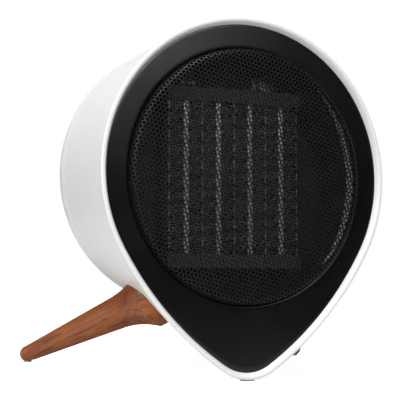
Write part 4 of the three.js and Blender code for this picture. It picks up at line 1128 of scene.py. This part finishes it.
stage = {"size": 1.6, "colour": (0.62, 0.62, 0.62), "glow": 0.85, "ambient": 0.03}
lamps = [  # name, place from the grille's centre, width, height, power
    ("front softbox", (0.55, -1.78, 0.87), 0.5, 0.5, 6),
    ("left front softbox", (-1.55, -1.10, 0.90), 1.2, 1.0, 25),
    ("left softbox", (-1.90, 0.10, 0.75), 1.8, 1.6, 10),
    ("top softbox", (-0.30, -0.35, 1.90), 1.6, 1.4, 50),
    ("right fill", (1.60, 0.30, 0.60), 1.0, 1.2, 3),
]
view = {"place": (-0.4830, -0.9068, -0.0262), "right": (0.899, -0.4368, 0.0305), "up": (-0.0301, 0.0079, 0.9995),
        "lens": 117.6, "sensor": 36}

floorMesh = bmesh.new()
bmesh.ops.create_grid(floorMesh, x_segments=1, y_segments=1, size=stage["size"] / 2)
floorData = bpy.data.meshes.new("floor")
floorMesh.to_mesh(floorData)
floorMesh.free()
floor = bpy.data.objects.new("floor", floorData)
bpy.context.scene.collection.objects.link(floor)
floorFinish, floorTree, floorShader = startMaterial("floorPale", stage["colour"])
floorShader.inputs["Base Color"].default_value = (*stage["colour"], 1)
floorShader.inputs["Roughness"].default_value = 0.9
floorShader.inputs["Specular IOR Level"].default_value = 0.1
floorShader.inputs["Emission Color"].default_value = (1, 1, 1, 1)
seenDirectly = floorTree.nodes.new("ShaderNodeLightPath").outputs["Is Camera Ray"]
floorTree.links.new(calculate(floorTree, "MULTIPLY", seenDirectly, stage["glow"]),
                    floorShader.inputs["Emission Strength"])
floorData.materials.append(floorFinish)

world = bpy.data.worlds.new("studio")
bpy.context.scene.world = world
world.use_nodes = True
sky = world.node_tree
behind = sky.nodes["Background"]
behind.inputs["Color"].default_value = (1, 1, 1, 1)
behind.inputs["Strength"].default_value = stage["ambient"]
seen = addNode(sky, "ShaderNodeBackground", {"Color": (1, 1, 1, 1), "Strength": 1.0})
path = sky.nodes.new("ShaderNodeLightPath")
chosen = sky.nodes.new("ShaderNodeMixShader")
sky.links.new(path.outputs["Is Camera Ray"], chosen.inputs[0])
sky.links.new(behind.outputs[0], chosen.inputs[1])
sky.links.new(seen.outputs[0], chosen.inputs[2])
sky.links.new(chosen.outputs[0], sky.nodes["World Output"].inputs["Surface"])

for name, place, width, height, power in lamps:
    lamp = bpy.data.lights.new(name, "AREA")
    lamp.shape = "RECTANGLE"
    lamp.size, lamp.size_y = width, height
    lamp.energy = power
    item = bpy.data.objects.new(name, lamp)
    bpy.context.scene.collection.objects.link(item)
    item.location = faceCentre + Vector(place)
    item.rotation_euler = (-Vector(place)).to_track_quat("-Z", "Y").to_euler()

camera = bpy.data.objects.new("camera", bpy.data.cameras.new("camera"))
bpy.context.scene.collection.objects.link(camera)
rightWay = Vector(view["right"]).normalized()
upWay = Vector(view["up"])
upWay = (upWay - rightWay * upWay.dot(rightWay)).normalized()
turnedTo = Matrix((rightWay, upWay, rightWay.cross(upWay))).transposed()
camera.matrix_world = Matrix.Translation(faceCentre + Vector(view["place"])) @ turnedTo.to_4x4()
camera.data.lens = view["lens"]
camera.data.sensor_width = view["sensor"]
camera.data.clip_end = 20
bpy.context.scene.camera = camera
bpy.context.scene.view_settings.view_transform = "Standard"
print("stage ready")
